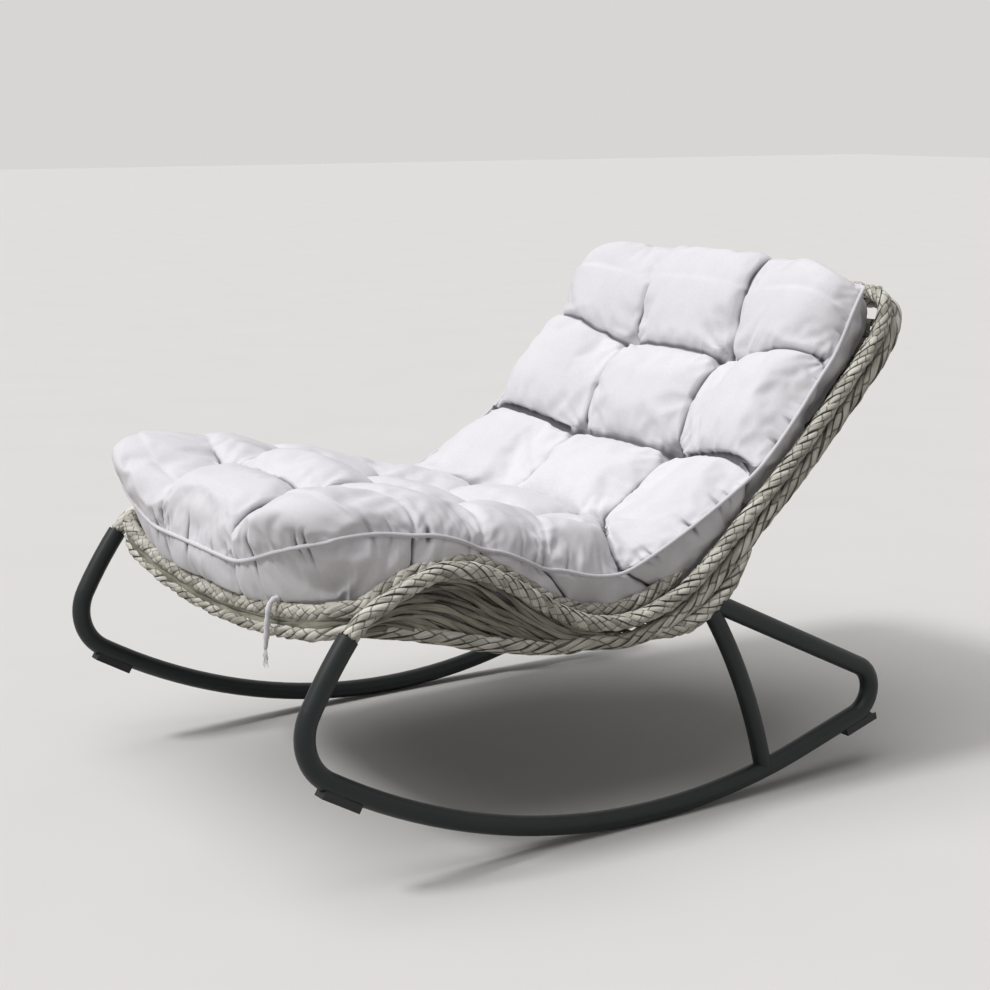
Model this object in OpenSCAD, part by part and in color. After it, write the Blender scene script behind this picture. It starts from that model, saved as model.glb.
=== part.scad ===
// Rattan rocking chair: two bent-tube rocker frames carry a woven basket seat with a loose tufted cushion.
// X runs across the chair, the sitter faces -Y, Z is up, and the rockers stand on Z = 0.

/* [Rocker frames] */
// Distance between the middle planes of the two rocker frames
frame_track = 786; // [740:2:830]
// Outer diameter of the rocker tube
tube_d = 30; // [26:1:34]
// Wall of the steel tubes
tube_wall = 1.6; // [1.2:0.1:2.5]
// Radius of the rocker's arc, at the tube's centre line
rocker_r = 1060; // [1000:10:1150]
// Where the rocker is lowest, along Y
rocker_low_y = -20; // [-30:1:-10]
// Angle of the arc from its lowest point to the front bend
rocker_front_angle = 31.6; // [30.5:0.1:32.5]
// Radius of the front bend, at the centre line
front_bend_r = 77; // [68:1:84]
// Slope of the front leg above its bend
leg_slope = 62; // [60:0.5:64]
// Radius of the front leg's slow curve
leg_curve_r = 720; // [600:10:900]
// Length of the front leg above its bend
leg_len = 112; // [106:1:118]
// Angle of the arc from its lowest point to the straight rear stretch
rocker_rear_angle = 16.5; // [15.5:0.1:17.5]
// Length of the straight rear stretch
rocker_tail_len = 119; // [110:1:126]
// Radius of the tight rear bend, at the centre line
rear_bend_r = 44; // [40:1:50]
// Slope of the rear brace that comes back up to the seat
brace_slope = 26; // [25:0.5:27]
// Length of the rear brace
brace_len = 338; // [326:1:342]

/* [Struts] */
// Outer diameter of the strut tube
strut_d = 28; // [24:1:30]
// Where the strut stands on the rocker, along Y
strut_foot_y = 201; // [185:1:210]
// How far the strut leans to the front at its foot, from upright
strut_lean = 13; // [10:0.5:16]
// Radius of the strut's slow curve
strut_curve_r = 880; // [800:10:1000]
// Length of the strut along its curve
strut_len = 284; // [274:1:290]

/* [Stoppers] */
// Length of a stopper pad under a rocker's end
stopper_len = 66; // [50:1:80]
// Width of a stopper pad
stopper_w = 22; // [18:1:26]
// Height of a stopper pad below the tube
stopper_h = 8; // [6:0.5:12]
// Diameter of the screw that holds a stopper pad
stopper_screw_d = 5; // [3:0.5:6]

/* [Basket ropes] */
// Diameter of a braided rope
rope_d = 27; // [22:0.5:28]
// Diameter of the steel rod inside a braided rope
core_d = 10; // [6:0.5:12]
// Gap between pieces of the basket that lie side by side
lay_gap = 0.4; // [0.3:0.1:0.8]

/* [Woven panels] */
// Diameter of a woven strand
strand_d = 8; // [5:0.5:9]
// Spacing of the cross strands under the seat
seat_pitch = 22; // [16:1:30]
// Spacing of the cross strands on the back
back_pitch = 20; // [14:1:30]
// Sag of the seat's cross strands at their middle
seat_sag = 14; // [6:1:20]
// Sag of the back's cross strands at their middle
back_sag = 36; // [24:1:44]
// Diameter of the steel bars under the weave
bar_d = 16; // [12:1:20]
// Spacing of the lengthwise strands that close the sides below the arms
side_pitch = 9; // [8.5:0.5:14]

/* [Cushion] */
// Gap from the cushion's piping to the middle plane of the rocker frame beside it
cushion_side_gap = 25; // [23:1:46]
// Height of the padded crown above a tuft
cushion_crown = 50; // [30:1:60]
// Diameter of the tie at the cushion's front
tie_d = 6; // [4:0.5:8]

/* [Hidden] */
half_track = frame_track / 2;
tube_r = tube_d / 2;
rope_r = rope_d / 2;
rope_pitch = rope_d + lay_gap;
cushion_half = half_track - cushion_side_gap;
strand_r = strand_d / 2;
steel = "#34393a";
rattan = "#a3a08f";
cloth = "#e4e3e7";
rubber = "#17181a";

// Joins places and directions in the side plane: a place is [y, z] and a heading is degrees above +Y.
function ahead(place, heading, run) = place + run * [cos(heading), sin(heading)];
function left_of(place, heading, run) = place + run * [-sin(heading), cos(heading)];

// Each bend's centre is found from the place and heading where it starts.
low_point = [rocker_low_y, tube_r];
arc_centre = left_of(low_point, 0, rocker_r);
front_start = arc_centre + rocker_r * [-sin(rocker_front_angle), -cos(rocker_front_angle)];
front_heading = 180 - rocker_front_angle;
front_centre = left_of(front_start, front_heading, -front_bend_r);
leg_foot = left_of(front_centre, leg_slope, front_bend_r);
leg_centre = left_of(leg_foot, leg_slope, -leg_curve_r);
leg_turn = leg_len / leg_curve_r * 180 / PI;
leg_heading = leg_slope - leg_turn;
leg_top = left_of(leg_centre, leg_heading, leg_curve_r);
rear_start = arc_centre + rocker_r * [sin(rocker_rear_angle), -cos(rocker_rear_angle)];
tail_end = ahead(rear_start, rocker_rear_angle, rocker_tail_len);
rear_centre = left_of(tail_end, rocker_rear_angle, rear_bend_r);
brace_heading = 180 - brace_slope;
brace_foot = left_of(rear_centre, brace_heading, -rear_bend_r);
brace_top = ahead(brace_foot, brace_heading, brace_len);
strut_drop = sqrt(pow(rocker_r, 2) - pow(strut_foot_y - rocker_low_y, 2));
strut_foot = [strut_foot_y, arc_centre[1] - strut_drop];
strut_heading = 90 + strut_lean;
strut_centre = left_of(strut_foot, strut_heading, strut_curve_r);
strut_turn = (strut_len + tube_r) / strut_curve_r * 180 / PI;
strut_top = left_of(strut_centre, strut_heading + strut_turn, -strut_curve_r);

// Stopper pads lie under the front end of the arc and the rear end of the straight stretch.
front_pad_angle = rocker_front_angle - 1.4;
front_pad_place = arc_centre + rocker_r * [-sin(front_pad_angle), -cos(front_pad_angle)];
rear_pad_place = ahead(tail_end, rocker_rear_angle, 4);
pad_gap = 0.1;
screw_len = stopper_h + 8;
screw_head_d = 2 * stopper_screw_d;
screw_head_h = 2.5;

// Right half of the hoop rope, from the front leg's top over the arm and up the back to its middle.
// Each point gives how far it lies inside the frame's plane, then its y and z.
hoop_points = [
    [0, leg_top[0], leg_top[1]],
    [0, leg_top[0] + 26, leg_top[1] + 24],
    [0, -463, 419], [0, -405, 438], [0, -358, 437], [1, -306, 419], [2, -244, 382], [4, -193, 350],
    [5, -136, 327], [5, -71, 320], [6, -3, 333], [8, 66, 366], [11, 181, 463], [14, 260, 530],
    [18, 342, 609], [21, 428, 699], [28, 455, 744], [56, 470, 767]
];
// Where the top bar runs, as shares of the half track, then y and z
top_points = [[0.66, 486, 771], [0.33, 496, 772], [0, 500, 772]];
// Direction from the hoop rope to the lower rope where they lie side by side, from the arm's end to the top
lay_angles = [-90, -88, -72, -52, -45, -45, -44, -43, -38, -38, -40, -41, -41];
lay_start = 8;
// Right half of the lower rope's front stretch and side rail
rail_points = [
    [1, -556, 328], [0.67, -555, 333], [0.4, -552, 345]
];
corner_points = [
    [83, -547, 357], [41, -531, 368], [20, -498, 369], [8, -446, 360], [4, -358, 336], [4, -285, 317],
    [5, -198, 301]
];
// Right half of the seat edge rope where it climbs from the front stretch to the arm
ear_points = [[83, -548, 386], [44, -538, 405], [29, -505, 428], [27, -455, 446]];
// Angle above level of the direction from the hoop rope to the seat edge rope, over the arm
edge_lift = 26;
edge_start = 3;
edge_end = 11;

function in_frame(p) = [half_track - p[0], p[1], p[2]];
hoop_half = concat(
    [for (p = hoop_points) in_frame(p)],
    [for (p = top_points) [p[0] * half_track, p[1], p[2]]]
);
function beside_hoop(i) = let (a = lay_angles[i - lay_start], room = i < 10 ? 1.8 : 0.4)
    hoop_half[i] + (rope_pitch + room) * [0, cos(a), sin(a)];
lower_half = concat(
    [for (p = rail_points) [(1 - p[0]) * half_track, p[1], p[2]]],
    [for (p = corner_points) in_frame(p)],
    [for (i = [lay_start:len(hoop_half) - 1]) beside_hoop(i)]
);
edge_half = concat(
    [for (p = rail_points) [(1 - p[0]) * half_track, p[1], p[2] + rope_pitch]],
    [for (p = ear_points) in_frame(p)],
    [for (i = [edge_start:edge_end])
        let (d = hoop_half[i + 1] - hoop_half[i - 1], a = atan2(d[2], d[1]))
        hoop_half[i]
            + (rope_pitch + 0.4) * [-cos(edge_lift), -sin(edge_lift) * sin(a), sin(edge_lift) * cos(a)]]
);

// Mirrored copies run the other way, so a half path and its mirror make one whole path.
function flip(p) = [-p[0], p[1], p[2]];
function reversed(a) = [for (i = [len(a) - 1:-1:0]) a[i]];
function from_middle(a) = concat([for (i = [len(a) - 1:-1:1]) flip(a[i])], a);
function to_middle(a) = concat(a, [for (i = [len(a) - 2:-1:0]) flip(a[i])]);
function full_loop(a) = concat(a, [for (i = [len(a) - 2:-1:1]) flip(a[i])]);

// A smooth curve through hand-chosen points, with the same number of steps between each pair.
function curve_at(p0, p1, p2, p3, t) =
    0.5 * (2 * p1 + t * (p2 - p0) + t * t * (2 * p0 - 5 * p1 + 4 * p2 - p3)
        + t * t * t * (3 * p1 - p0 - 3 * p2 + p3));
function smooth_open(p, steps) = concat(
    [for (i = [0:len(p) - 2]) for (k = [0:steps - 1])
        curve_at(p[max(i - 1, 0)], p[i], p[i + 1], p[min(i + 2, len(p) - 1)], k / steps)],
    [p[len(p) - 1]]
);
function smooth_loop(p, steps) = let (n = len(p))
    [for (i = [0:n - 1]) for (k = [0:steps - 1])
        curve_at(p[(i + n - 1) % n], p[i], p[(i + 1) % n], p[(i + 2) % n], k / steps)];

function unit(v) = v / norm(v);
function tangents(p, closed) = let (n = len(p))
    [for (i = [0:n - 1]) closed
        ? unit(p[(i + 1) % n] - p[(i + n - 1) % n])
        : unit(p[min(i + 1, n - 1)] - p[max(i - 1, 0)])];
function carried(v, t) = unit(v - (v * t) * t);
function sides_of(t, start) =
    [for (i = 0, v = carried(start, t[0]); i < len(t); i = i + 1, v = i < len(t) ? carried(v, t[i]) : v) v];

// A round rope or rod along a path, its rings carried without twist.
module swept(path, r, sides, closed = false) {
    t = tangents(path, closed);
    u = sides_of(t, [0, 0, 1]);
    rings = len(path);
    points = [for (i = [0:rings - 1]) for (k = [0:sides - 1])
        path[i] + r * (cos(360 * k / sides) * u[i] + sin(360 * k / sides) * cross(t[i], u[i]))];
    last = closed ? rings - 1 : rings - 2;
    wall = [for (i = [0:last]) for (k = [0:sides - 1])
        let (a = i * sides, b = ((i + 1) % rings) * sides, m = (k + 1) % sides)
        each [[a + k, b + k, b + m], [a + k, b + m, a + m]]];
    ends = closed ? [] : [
        for (k = [1:sides - 2]) each [
            [0, k, k + 1],
            [(rings - 1) * sides, (rings - 1) * sides + k + 1, (rings - 1) * sides + k]
        ]
    ];
    polyhedron(points, concat(wall, ends));
}
function lengthened(p, run) = concat(
    [p[0] + run * unit(p[0] - p[1])], p, [p[len(p) - 1] + run * unit(p[len(p) - 1] - p[len(p) - 2])]
);

hoop_path = smooth_open(to_middle(hoop_half), 2);
lower_path = smooth_loop(full_loop(lower_half), 2);
edge_path = smooth_open(from_middle(edge_half), 2);
rope_sides = 10;
core_sides = 6;

// The middle of the chair's length stands over the origin.
front_most = front_centre[0] - front_bend_r - tube_r;
rear_most = max([for (p = lower_path) p[1]]) + rope_r;
module centred() {
    translate([0, -(front_most + rear_most) / 2, 0])
        children();
}

// Puts a thing that is drawn pointing down at a pad's place on the tube's centre line.
module at_pad(side, place, slope) {
    translate([side * half_track, place[0], place[1]])
        rotate([slope, 0, 0])
        children();
}
module screw_hole() {
    translate([0, 0, -tube_r - 1])
        cylinder(d = stopper_screw_d + 2 * pad_gap, h = tube_r, $fn = 32);
}

// Stands a thing drawn in the side plane, with x as its y and y as its z, at a distance across the chair.
module in_side_plane(x) {
    translate([x, 0, 0])
        rotate([90, 0, 90])
        children();
}

// Stretches of hollow tube in the side plane, seen from +X. Every second stretch is a hair thinner
// and reaches a little way into its neighbours, so the six stretches weld into one tube.
nest = 1;
nest_step = 0.05;
module tube_ring(r, nested) {
    difference() {
        circle(r = nested ? r - nest_step : r, $fn = 48);
        circle(r = nested ? r - tube_wall + nest_step : r - tube_wall, $fn = 48);
    }
}
module tube_arc(centre, bend_r, from, turn, r, nested = false) {
    over = nested ? nest / bend_r * 180 / PI : 0;
    translate([centre[0], centre[1], 0])
        rotate([0, 0, from - over])
        rotate_extrude(angle = turn + 2 * over, $fn = 180)
        translate([bend_r, 0])
        tube_ring(r, nested);
}
module nested_run(start, heading, run, r) {
    translate([start[0], start[1], 0])
        rotate([0, 0, heading])
        rotate([90, 0, 90])
        translate([0, 0, -nest])
        linear_extrude(run + 2 * nest)
        tube_ring(r, true);
}
module rocker_tube() {
    tube_arc(leg_centre, leg_curve_r, 90 + leg_heading, leg_turn, tube_r);
    tube_arc(front_centre, front_bend_r, 90 + leg_slope, front_heading - leg_slope, tube_r, true);
    tube_arc(arc_centre, rocker_r, -90 - rocker_front_angle, rocker_front_angle + rocker_rear_angle, tube_r);
    nested_run(rear_start, rocker_rear_angle, rocker_tail_len, tube_r);
    tube_arc(rear_centre, rear_bend_r, rocker_rear_angle - 90, brace_heading - rocker_rear_angle, tube_r);
    nested_run(brace_foot, brace_heading, brace_len, tube_r);
}
// Room for the side rail's rope over the ends of the brace and the strut
module rail_room(side, y) {
    i = min([for (k = [0:len(lower_path) / 2]) if (lower_path[k][2] < 450 && lower_path[k][1] > y) k]);
    p = lower_path[i];
    d = unit(lower_path[i + 1] - lower_path[i - 1]);
    translate([side * p[0], p[1], p[2]])
        rotate([atan2(d[2], d[1]), 0, 0])
        translate([0, -60, 0])
        rotate([-90, 0, 0])
        cylinder(r = rope_r + lay_gap + 1.2, h = 120, $fn = 48);
}
module rocker_frame(side) {
    centred()
        color(steel)
        difference() {
            in_side_plane(side * half_track) rocker_tube();
            rail_room(side, brace_top[0]);
            at_pad(side, front_pad_place, -front_pad_angle) screw_hole();
            at_pad(side, rear_pad_place, rocker_rear_angle) screw_hole();
        }
}
module strut(side) {
    centred()
        color(steel)
        difference() {
            in_side_plane(side * half_track)
                tube_arc(strut_centre, strut_curve_r, strut_heading - 90, strut_turn, strut_d / 2);
            in_side_plane(side * half_track)
                translate([arc_centre[0], arc_centre[1], 0])
                rotate([0, 0, -90])
                rotate_extrude(angle = rocker_rear_angle, $fn = 180)
                translate([rocker_r, 0])
                circle(r = tube_r + 0.3, $fn = 48);
            in_side_plane(side * half_track)
                translate([brace_foot[0], brace_foot[1], 0])
                rotate([0, 0, brace_heading])
                rotate([0, 90, 0])
                cylinder(r = tube_r + 0.3, h = brace_len + 5, $fn = 48);
            rail_room(side, strut_top[0]);
        }
}

// A stopper pad is a flat bar with a trough along its top, where it lies against the tube.
module stopper(side, place, slope) {
    centred()
        color(rubber)
        at_pad(side, place, slope)
        difference() {
            translate([-stopper_w / 2, -stopper_len / 2, -tube_r - stopper_h])
                cube([stopper_w, stopper_len, stopper_h + tube_r / 2]);
            translate([0, -stopper_len / 2 - 1, 0])
                rotate([-90, 0, 0])
                cylinder(r = tube_r + pad_gap, h = stopper_len + 2, $fn = 64);
            translate([0, 0, -tube_r - stopper_h - 1])
                cylinder(d = stopper_screw_d + 2 * pad_gap, h = stopper_h + 2, $fn = 32);
            translate([0, 0, -tube_r - stopper_h - 1])
                cylinder(d = screw_head_d + 2 * pad_gap, h = 1 + screw_head_h, $fn = 32);
        }
}
module stopper_front(side) {
    stopper(side, front_pad_place, -front_pad_angle);
}
module stopper_rear(side) {
    stopper(side, rear_pad_place, rocker_rear_angle);
}
module screw(side, place, slope) {
    at_pad(side, place, slope)
        translate([0, 0, -tube_r - stopper_h]) {
            cylinder(d = screw_head_d, h = screw_head_h - pad_gap, $fn = 32);
            cylinder(d = stopper_screw_d, h = screw_len, $fn = 32);
        }
}
module stopper_screws() {
    centred()
        color(steel)
        for (side = [-1, 1]) {
            screw(side, front_pad_place, -front_pad_angle);
            screw(side, rear_pad_place, rocker_rear_angle);
        }
}

// The braided ropes are wound round bent steel rods.
module rope_round(path, closed = false) {
    centred()
        color(rattan)
        difference() {
            swept(path, rope_r, rope_sides, closed);
            if (closed) swept(path, core_d / 2 + 0.2, core_sides, true);
            else swept(lengthened(path, 1), core_d / 2 + 0.2, core_sides);
        }
}
module hoop_core() {
    centred() color(steel) swept(hoop_path, core_d / 2, core_sides);
}
module lower_core() {
    centred() color(steel) swept(lower_path, core_d / 2, core_sides, true);
}
module hoop_rope() {
    rope_round(hoop_path);
}
module lower_rope() {
    rope_round(lower_path, true);
}
module seat_edge_rope() {
    centred() color(rattan) swept(edge_path, rope_r, 8);
}

// The side rail, from the front corner to the top corner, measured by its own length.
rail_first = len(rail_points) + 1;
rail_last = len(lower_half) - len(top_points) - 1;
rail_path = smooth_open([for (i = [rail_first:rail_last]) lower_half[i]], 4);
rail_count = len(rail_path);
rail_runs = [for (i = 0, s = 0; i < rail_count;
    i = i + 1, s = s + (i < rail_count ? norm(rail_path[i] - rail_path[i - 1]) : 0)) s];
rail_len = rail_runs[len(rail_runs) - 1];
function on_rail(s) =
    [for (k = [0:2]) lookup(s, [for (i = [0:rail_count - 1]) [rail_runs[i], rail_path[i][k]]])];
function rail_dir(s) = unit(on_rail(s + 4) - on_rail(s - 4));
function rail_slope(s) = let (d = rail_dir(s)) atan2(d[2], d[1]);
// Direction in which the weave sags: down under the seat, and to the rear on the back
function sag_dir(s) = let (a = rail_slope(s)) [0, sin(a), -cos(a)];
front_dip = 30;
// Near the top bar the weave draws flat again.
top_run = 260;
top_sag = 6;
function sag_at(s) = lookup(s, [
    [0, seat_sag + front_dip], [90, seat_sag + front_dip], [310, seat_sag], [560, seat_sag],
    [760, back_sag], [rail_len - top_run, back_sag], [rail_len, top_sag]
]);
// Half length of a cross strand, so that its end stops at the rail's rope
function strand_reach(s) = let (d = rail_dir(s), c = sqrt(1 - d[0] * d[0]))
    on_rail(s)[0] - (rope_r + lay_gap / 2 + 2 * strand_r * abs(d[0])) / c;
function weave_at(x, s, lift) = let (p = on_rail(s), sag = sag_at(s),
        arc_r = (pow(strand_reach(s), 2) + pow(sag, 2)) / (2 * sag))
    [x, p[1], p[2]] + (sqrt(pow(arc_r, 2) - x * x) - arc_r + sag - lift) * sag_dir(s);

// A round strand or bar that hangs across the chair between the side rails.
module cross_arc(s, r, drop, more = 0) {
    p = on_rail(s) + drop * sag_dir(s);
    reach = strand_reach(s) + more;
    sag = sag_at(s);
    arc_r = (pow(reach, 2) + pow(sag, 2)) / (2 * sag);
    half_angle = asin(reach / arc_r);
    translate([0, p[1], p[2]])
        rotate([rail_slope(s) + 90, 0, 0])
        translate([0, arc_r - sag, 0])
        rotate([0, 0, -90 - half_angle])
        rotate_extrude(angle = 2 * half_angle, $fn = 360)
        translate([arc_r, 0])
        circle(r = r, $fn = 16);
}
weave_start = 34;
crease_run = 610;
weave_end = rail_len - 46;
bar_runs = [188, 452, 776, 1010];
function clear_of_bars(s) = min([for (b = bar_runs) abs(s - b)]) > bar_d / 2 + strand_r + lay_gap;
module cross_strands(from, to, pitch) {
    steps = floor((to - from) / pitch);
    centred()
        color(rattan)
        for (i = [0:steps])
            let (s = from + i * (to - from) / steps)
                if (clear_of_bars(s)) cross_arc(s, strand_r, 0);
}
module seat_weave() {
    cross_strands(weave_start, crease_run, seat_pitch);
}
module back_weave() {
    cross_strands(crease_run + back_pitch, weave_end, back_pitch);
}
module steel_bar(i) {
    centred() color(steel) cross_arc(bar_runs[i], bar_d / 2, bar_d / 2 - strand_r, lay_gap);
}

// Lengthwise strands lie on the cross strands, on the sitter's side.
runner_places = [for (k = [-4:4]) k * 0.2 * half_track];
runner_lift = strand_d + lay_gap + 0.5;
module runners(from, to, steps) {
    centred()
        color(rattan)
        for (x = runner_places)
            swept([for (i = [0:steps]) weave_at(x, from + (to - from) * i / steps, runner_lift)], strand_r, 4);
}
module seat_runners() {
    runners(weave_start, crease_run + 4, 20);
}
module back_runners() {
    runners(crease_run + 12, weave_end, 13);
}

// Side strands run lengthwise below the arm, one above the other, each as long as its gap allows.
hoop_side = smooth_open([for (i = [0:edge_end]) hoop_half[i]], 4);
function height_on(path, y) = lookup(y, [for (p = path) [p[1], p[2]]]);
function across_on(path, y) = lookup(y, [for (p = path) [p[1], p[0]]]);
side_strand_r = (side_pitch - lay_gap) / 2;
side_first = rope_r + lay_gap + side_strand_r;
side_step = 12;
side_slack = -0.6;
side_room = 2.6;
function side_strand(k) = [for (y = [-510:side_step:-150])
    let (low = height_on(rail_path, y), high = height_on(hoop_side, y),
        z = low + side_first + side_slack + k * side_pitch)
    if (high - z > side_first + side_room) [across_on(hoop_side, y), y, z]];
module side_panel(side) {
    centred()
        color(rattan)
        for (k = [0:12])
            let (p = side_strand(k))
                if (len(p) > 2)
                    swept([for (q = p) [side * q[0], q[1], q[2]]], side_strand_r, 5);
}

// The cushion: seven rows and three columns of padded cells, drawn in at the sewn tufts between them.
// Each list runs from the front edge to the top edge, one place [y, z] a row.
tuft_line = [
    [-584, 429], [-458, 508], [-300, 452], [-120, 408], [60, 402], [222, 500], [329, 654], [452, 797]
];
piping_line = [
    [-540, 490], [-420, 488], [-312, 454], [-205, 411], [-60, 387], [193, 514], [346, 671], [424, 783]
];
// Half width at each row, as a share of the whole half width
width_shares = [0.92, 0.99, 1, 1, 1, 1, 0.98, 0.95];
// How far each row's padding stands above its seams, in the middle column and in the side columns
middle_crowns = [48, 46, 46, 46, 42, 48, 54];
side_crowns = [78, 60, 60, 58, 36, 52, 58];
// How much of that height is left on a row's column seams, and on the channel at each row's front
column_shares = [0.78, 0.6, 0.55, 0.55, 0.55, 0.6, 0.78];
middle_channels = [0, 0.5, 0.5, 0.5, 0.45, 0.45, 0.45, 0];
side_channels = [0, 0.85, 0.88, 0.9, 0.6, 0.45, 0.7, 0];
piping_share = 0.12;
base_runs = [26, 104, 240, 424, 602, 792, 964, 1166];
rows = len(tuft_line) - 1;
row_steps = 4;
tuft_u = 0.354;
across_u = [-1, -0.97, -0.9, -0.78, -0.6, -0.45, -tuft_u, -0.2, 0, 0.2, tuft_u, 0.45, 0.6, 0.78, 0.9, 0.97, 1];
wall_room = 10.1;
wall_x = half_track - rope_pitch - rope_r - wall_room;
base_clear = 2 * strand_d + lay_gap - 1.7;

function along(a, v) = let (i = min(floor(v), len(a) - 2), n = len(a) - 1)
    curve_at(a[max(i - 1, 0)], a[i], a[i + 1], a[min(i + 2, n)], v - i);
function ease(t) = t * t * (3 - 2 * t);
// The piping turns a square corner at the front, so there the seams pass over to it later.
corner_power = 5;
function side_share(u) = max(abs(u) - tuft_u, 0) / (1 - tuft_u);
function seam_place(u, v) = let (s = side_share(u), near = min(v, 1), k = ease(s),
        ky = near * k + (1 - near) * pow(s, corner_power), kz = near * k + (1 - near) * s,
        a = along(tuft_line, v), b = along(piping_line, v))
    [a[0] + ky * (b[0] - a[0]), a[1] + kz * (b[1] - a[1])];
// A padded cell is highest nearer its outer edge: shares run from 0 to 1 across a cell.
function cell_top(t, skew) = 1 - pow(abs(2 * pow(t, skew) - 1), 2.5);
function cell_across(u) = abs(u) <= tuft_u
    ? cell_top((u / tuft_u + 1) / 2, 1)
    : cell_top((abs(u) - tuft_u) / (1 - tuft_u), 2.4);
function cell_along(v) = let (i = min(floor(v), rows - 1), t = v - i)
    i == 0 ? cell_top(1 - t, end_skew) : cell_top(t, i == rows - 1 ? end_skew : 1);
end_skew = 1.8;
end_peak = pow(0.5, 1 / end_skew);
// The channel between rows keeps some height, but the front and top edges keep none.
function channel_at(u, v) = let (i = round(v), edge = v < 1 - end_peak || v > rows - 1 + end_peak)
    edge ? 0 : abs(u) <= tuft_u ? middle_channels[i] : side_channels[i];
function column_at(u, v) = let (s = side_share(u))
    column_shares[min(floor(v), rows - 1)] * (1 - s) + piping_share * s;
function crown_at(u, v) = let (i = min(floor(v), rows - 1), f = cell_across(u), g = cell_along(v))
    (abs(u) <= tuft_u ? middle_crowns[i] : side_crowns[i]) * cushion_crown / 50
        * (f * g + column_at(u, v) * (1 - f) * g + channel_at(u, v) * (1 - g) * f);
// At the front edge the padding rises straight from the piping in the middle and leans out at the corners.
middle_lean = 0.3;
corner_lean = -0.8;
top_lean = 0.8;
lean_run = 0.7;
function end_tilt(u, v) = let (s = side_share(u))
    v < lean_run ? (middle_lean * (1 - s) + corner_lean * s) * (1 - v / lean_run)
    : v > rows - lean_run ? top_lean * (v - rows + lean_run) / lean_run : 0;
function seam_normal(u, v) = let (
        ahead = seam_place(u, min(v + 0.05, rows)), behind = seam_place(u, max(v - 0.05, 0)),
        t = (ahead - behind) / norm(ahead - behind), k = end_tilt(u, v))
    unit([0.5 * pow(u, 5), -t[1] + k * t[0], t[0] + k * t[1]]);
function half_width(v) = cushion_half * along([for (w = width_shares) [w, 0]], v)[0];
function top_point(u, v) = let (p = seam_place(u, v))
    [u * half_width(v), p[0], p[1]] + crown_at(u, v) * seam_normal(u, v);
function wall_share(u, v) = wall_x / cushion_half * u * half_width(v);
function base_point(u, v) = v == 0
    ? [wall_share(u, v), -532 + 34 * pow(u, 4), 368 + 34 * pow(u, 4)]
    : weave_at(wall_share(u, v), along([for (r = base_runs) [r, 0]], v)[0], base_clear);
// The piping overhangs the wall below it, which clears the ropes.
lip_drop = 9;
lip_x = wall_x + 3;
function lip_point(side, v) = let (p = seam_place(1, v), b = base_point(side, v),
        d = unit([b[1] - p[0], b[2] - p[1]]))
    [side * min(half_width(v) - 6, lip_x), p[0] + lip_drop * d[0], p[1] + lip_drop * d[1]];
function cushion_ring(v) = concat(
    [for (u = across_u) top_point(u, v)],
    [lip_point(1, v)],
    [for (u = reversed(across_u)) base_point(u, v)],
    [lip_point(-1, v)]
);
// The front wall bulges below the piping and hangs a little over the ropes. It draws back at the corners.
function front_belly(u) = [u * half_width(0), -592 + 50 * pow(u, 6), 398 + 64 * pow(u, 4)];
function front_low(u) = [u * (half_width(0) - 6), -576 + 50 * pow(u, 4), 382 + 48 * pow(u, 4)];
module cushion() {
    stations = rows * row_steps + 1;
    half = len(across_u);
    ring = 2 * half + 2;
    belly = stations * ring;
    low = belly + half;
    points = concat(
        [for (i = [0:stations - 1]) each cushion_ring(i / row_steps)],
        [for (u = across_u) front_belly(u)],
        [for (u = across_u) front_low(u)]
    );
    skin = [for (i = [0:stations - 2]) for (k = [0:ring - 1])
        let (a = i * ring, b = a + ring, m = (k + 1) % ring)
        each [[a + k, b + m, a + m], [a + k, b + k, b + m]]];
    last = (stations - 1) * ring;
    // The top end is closed by a strip between its upper and lower edges, the front end by three strips.
    top_end = [for (k = [0:half - 2]) let (base = 2 * half - k)
        each [[last + k, last + base - 1, last + k + 1], [last + k, last + base, last + base - 1]]];
    front_end = [for (k = [0:half - 2]) let (base = 2 * half - k)
        each [
            [k, k + 1, belly + k + 1], [k, belly + k + 1, belly + k],
            [belly + k, belly + k + 1, low + k + 1], [belly + k, low + k + 1, low + k],
            [low + k, low + k + 1, base - 1], [low + k, base - 1, base]
        ]];
    left_lip = 2 * half + 1;
    corners = [
        [0, belly, left_lip], [belly, low, left_lip], [low, 2 * half, left_lip],
        [half - 1, half, belly + half - 1], [belly + half - 1, half, low + half - 1],
        [low + half - 1, half, half + 1],
        [last, last + left_lip, last + 2 * half], [last + half - 1, last + half + 1, last + half]
    ];
    centred() color(cloth) polyhedron(points, concat(skin, top_end, front_end, corners));
}

// The tie's route, from the lower edge of the cushion's front wall straight down before the ropes.
tie_points = [
    [223, -565, 390], [223, -572, 388], [223, -578, 382], [223, -581, 370], [221, -581, 352],
    [218, -580, 334], [214, -579, 316]
];
module front_tie() {
    centred() color(cloth) swept(smooth_open(tie_points, 3), tie_d / 2, 8);
}

rocker_frame(1);  // rocker_frame_left
rocker_frame(-1);  // rocker_frame_right
strut(1);  // strut_left
strut(-1);  // strut_right
stopper_front(1);  // stopper_front_left
stopper_front(-1);  // stopper_front_right
stopper_rear(1);  // stopper_rear_left
stopper_rear(-1);  // stopper_rear_right
stopper_screws();
hoop_core();
lower_core();
hoop_rope();
lower_rope();
seat_edge_rope();
side_panel(1);  // side_panel_left
side_panel(-1);  // side_panel_right
steel_bar(0);  // seat_bar_front
steel_bar(1);  // seat_bar_rear
steel_bar(2);  // lumbar_bar
steel_bar(3);  // back_bar
seat_weave();
seat_runners();
back_weave();
back_runners();
cushion();
front_tie();
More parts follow.
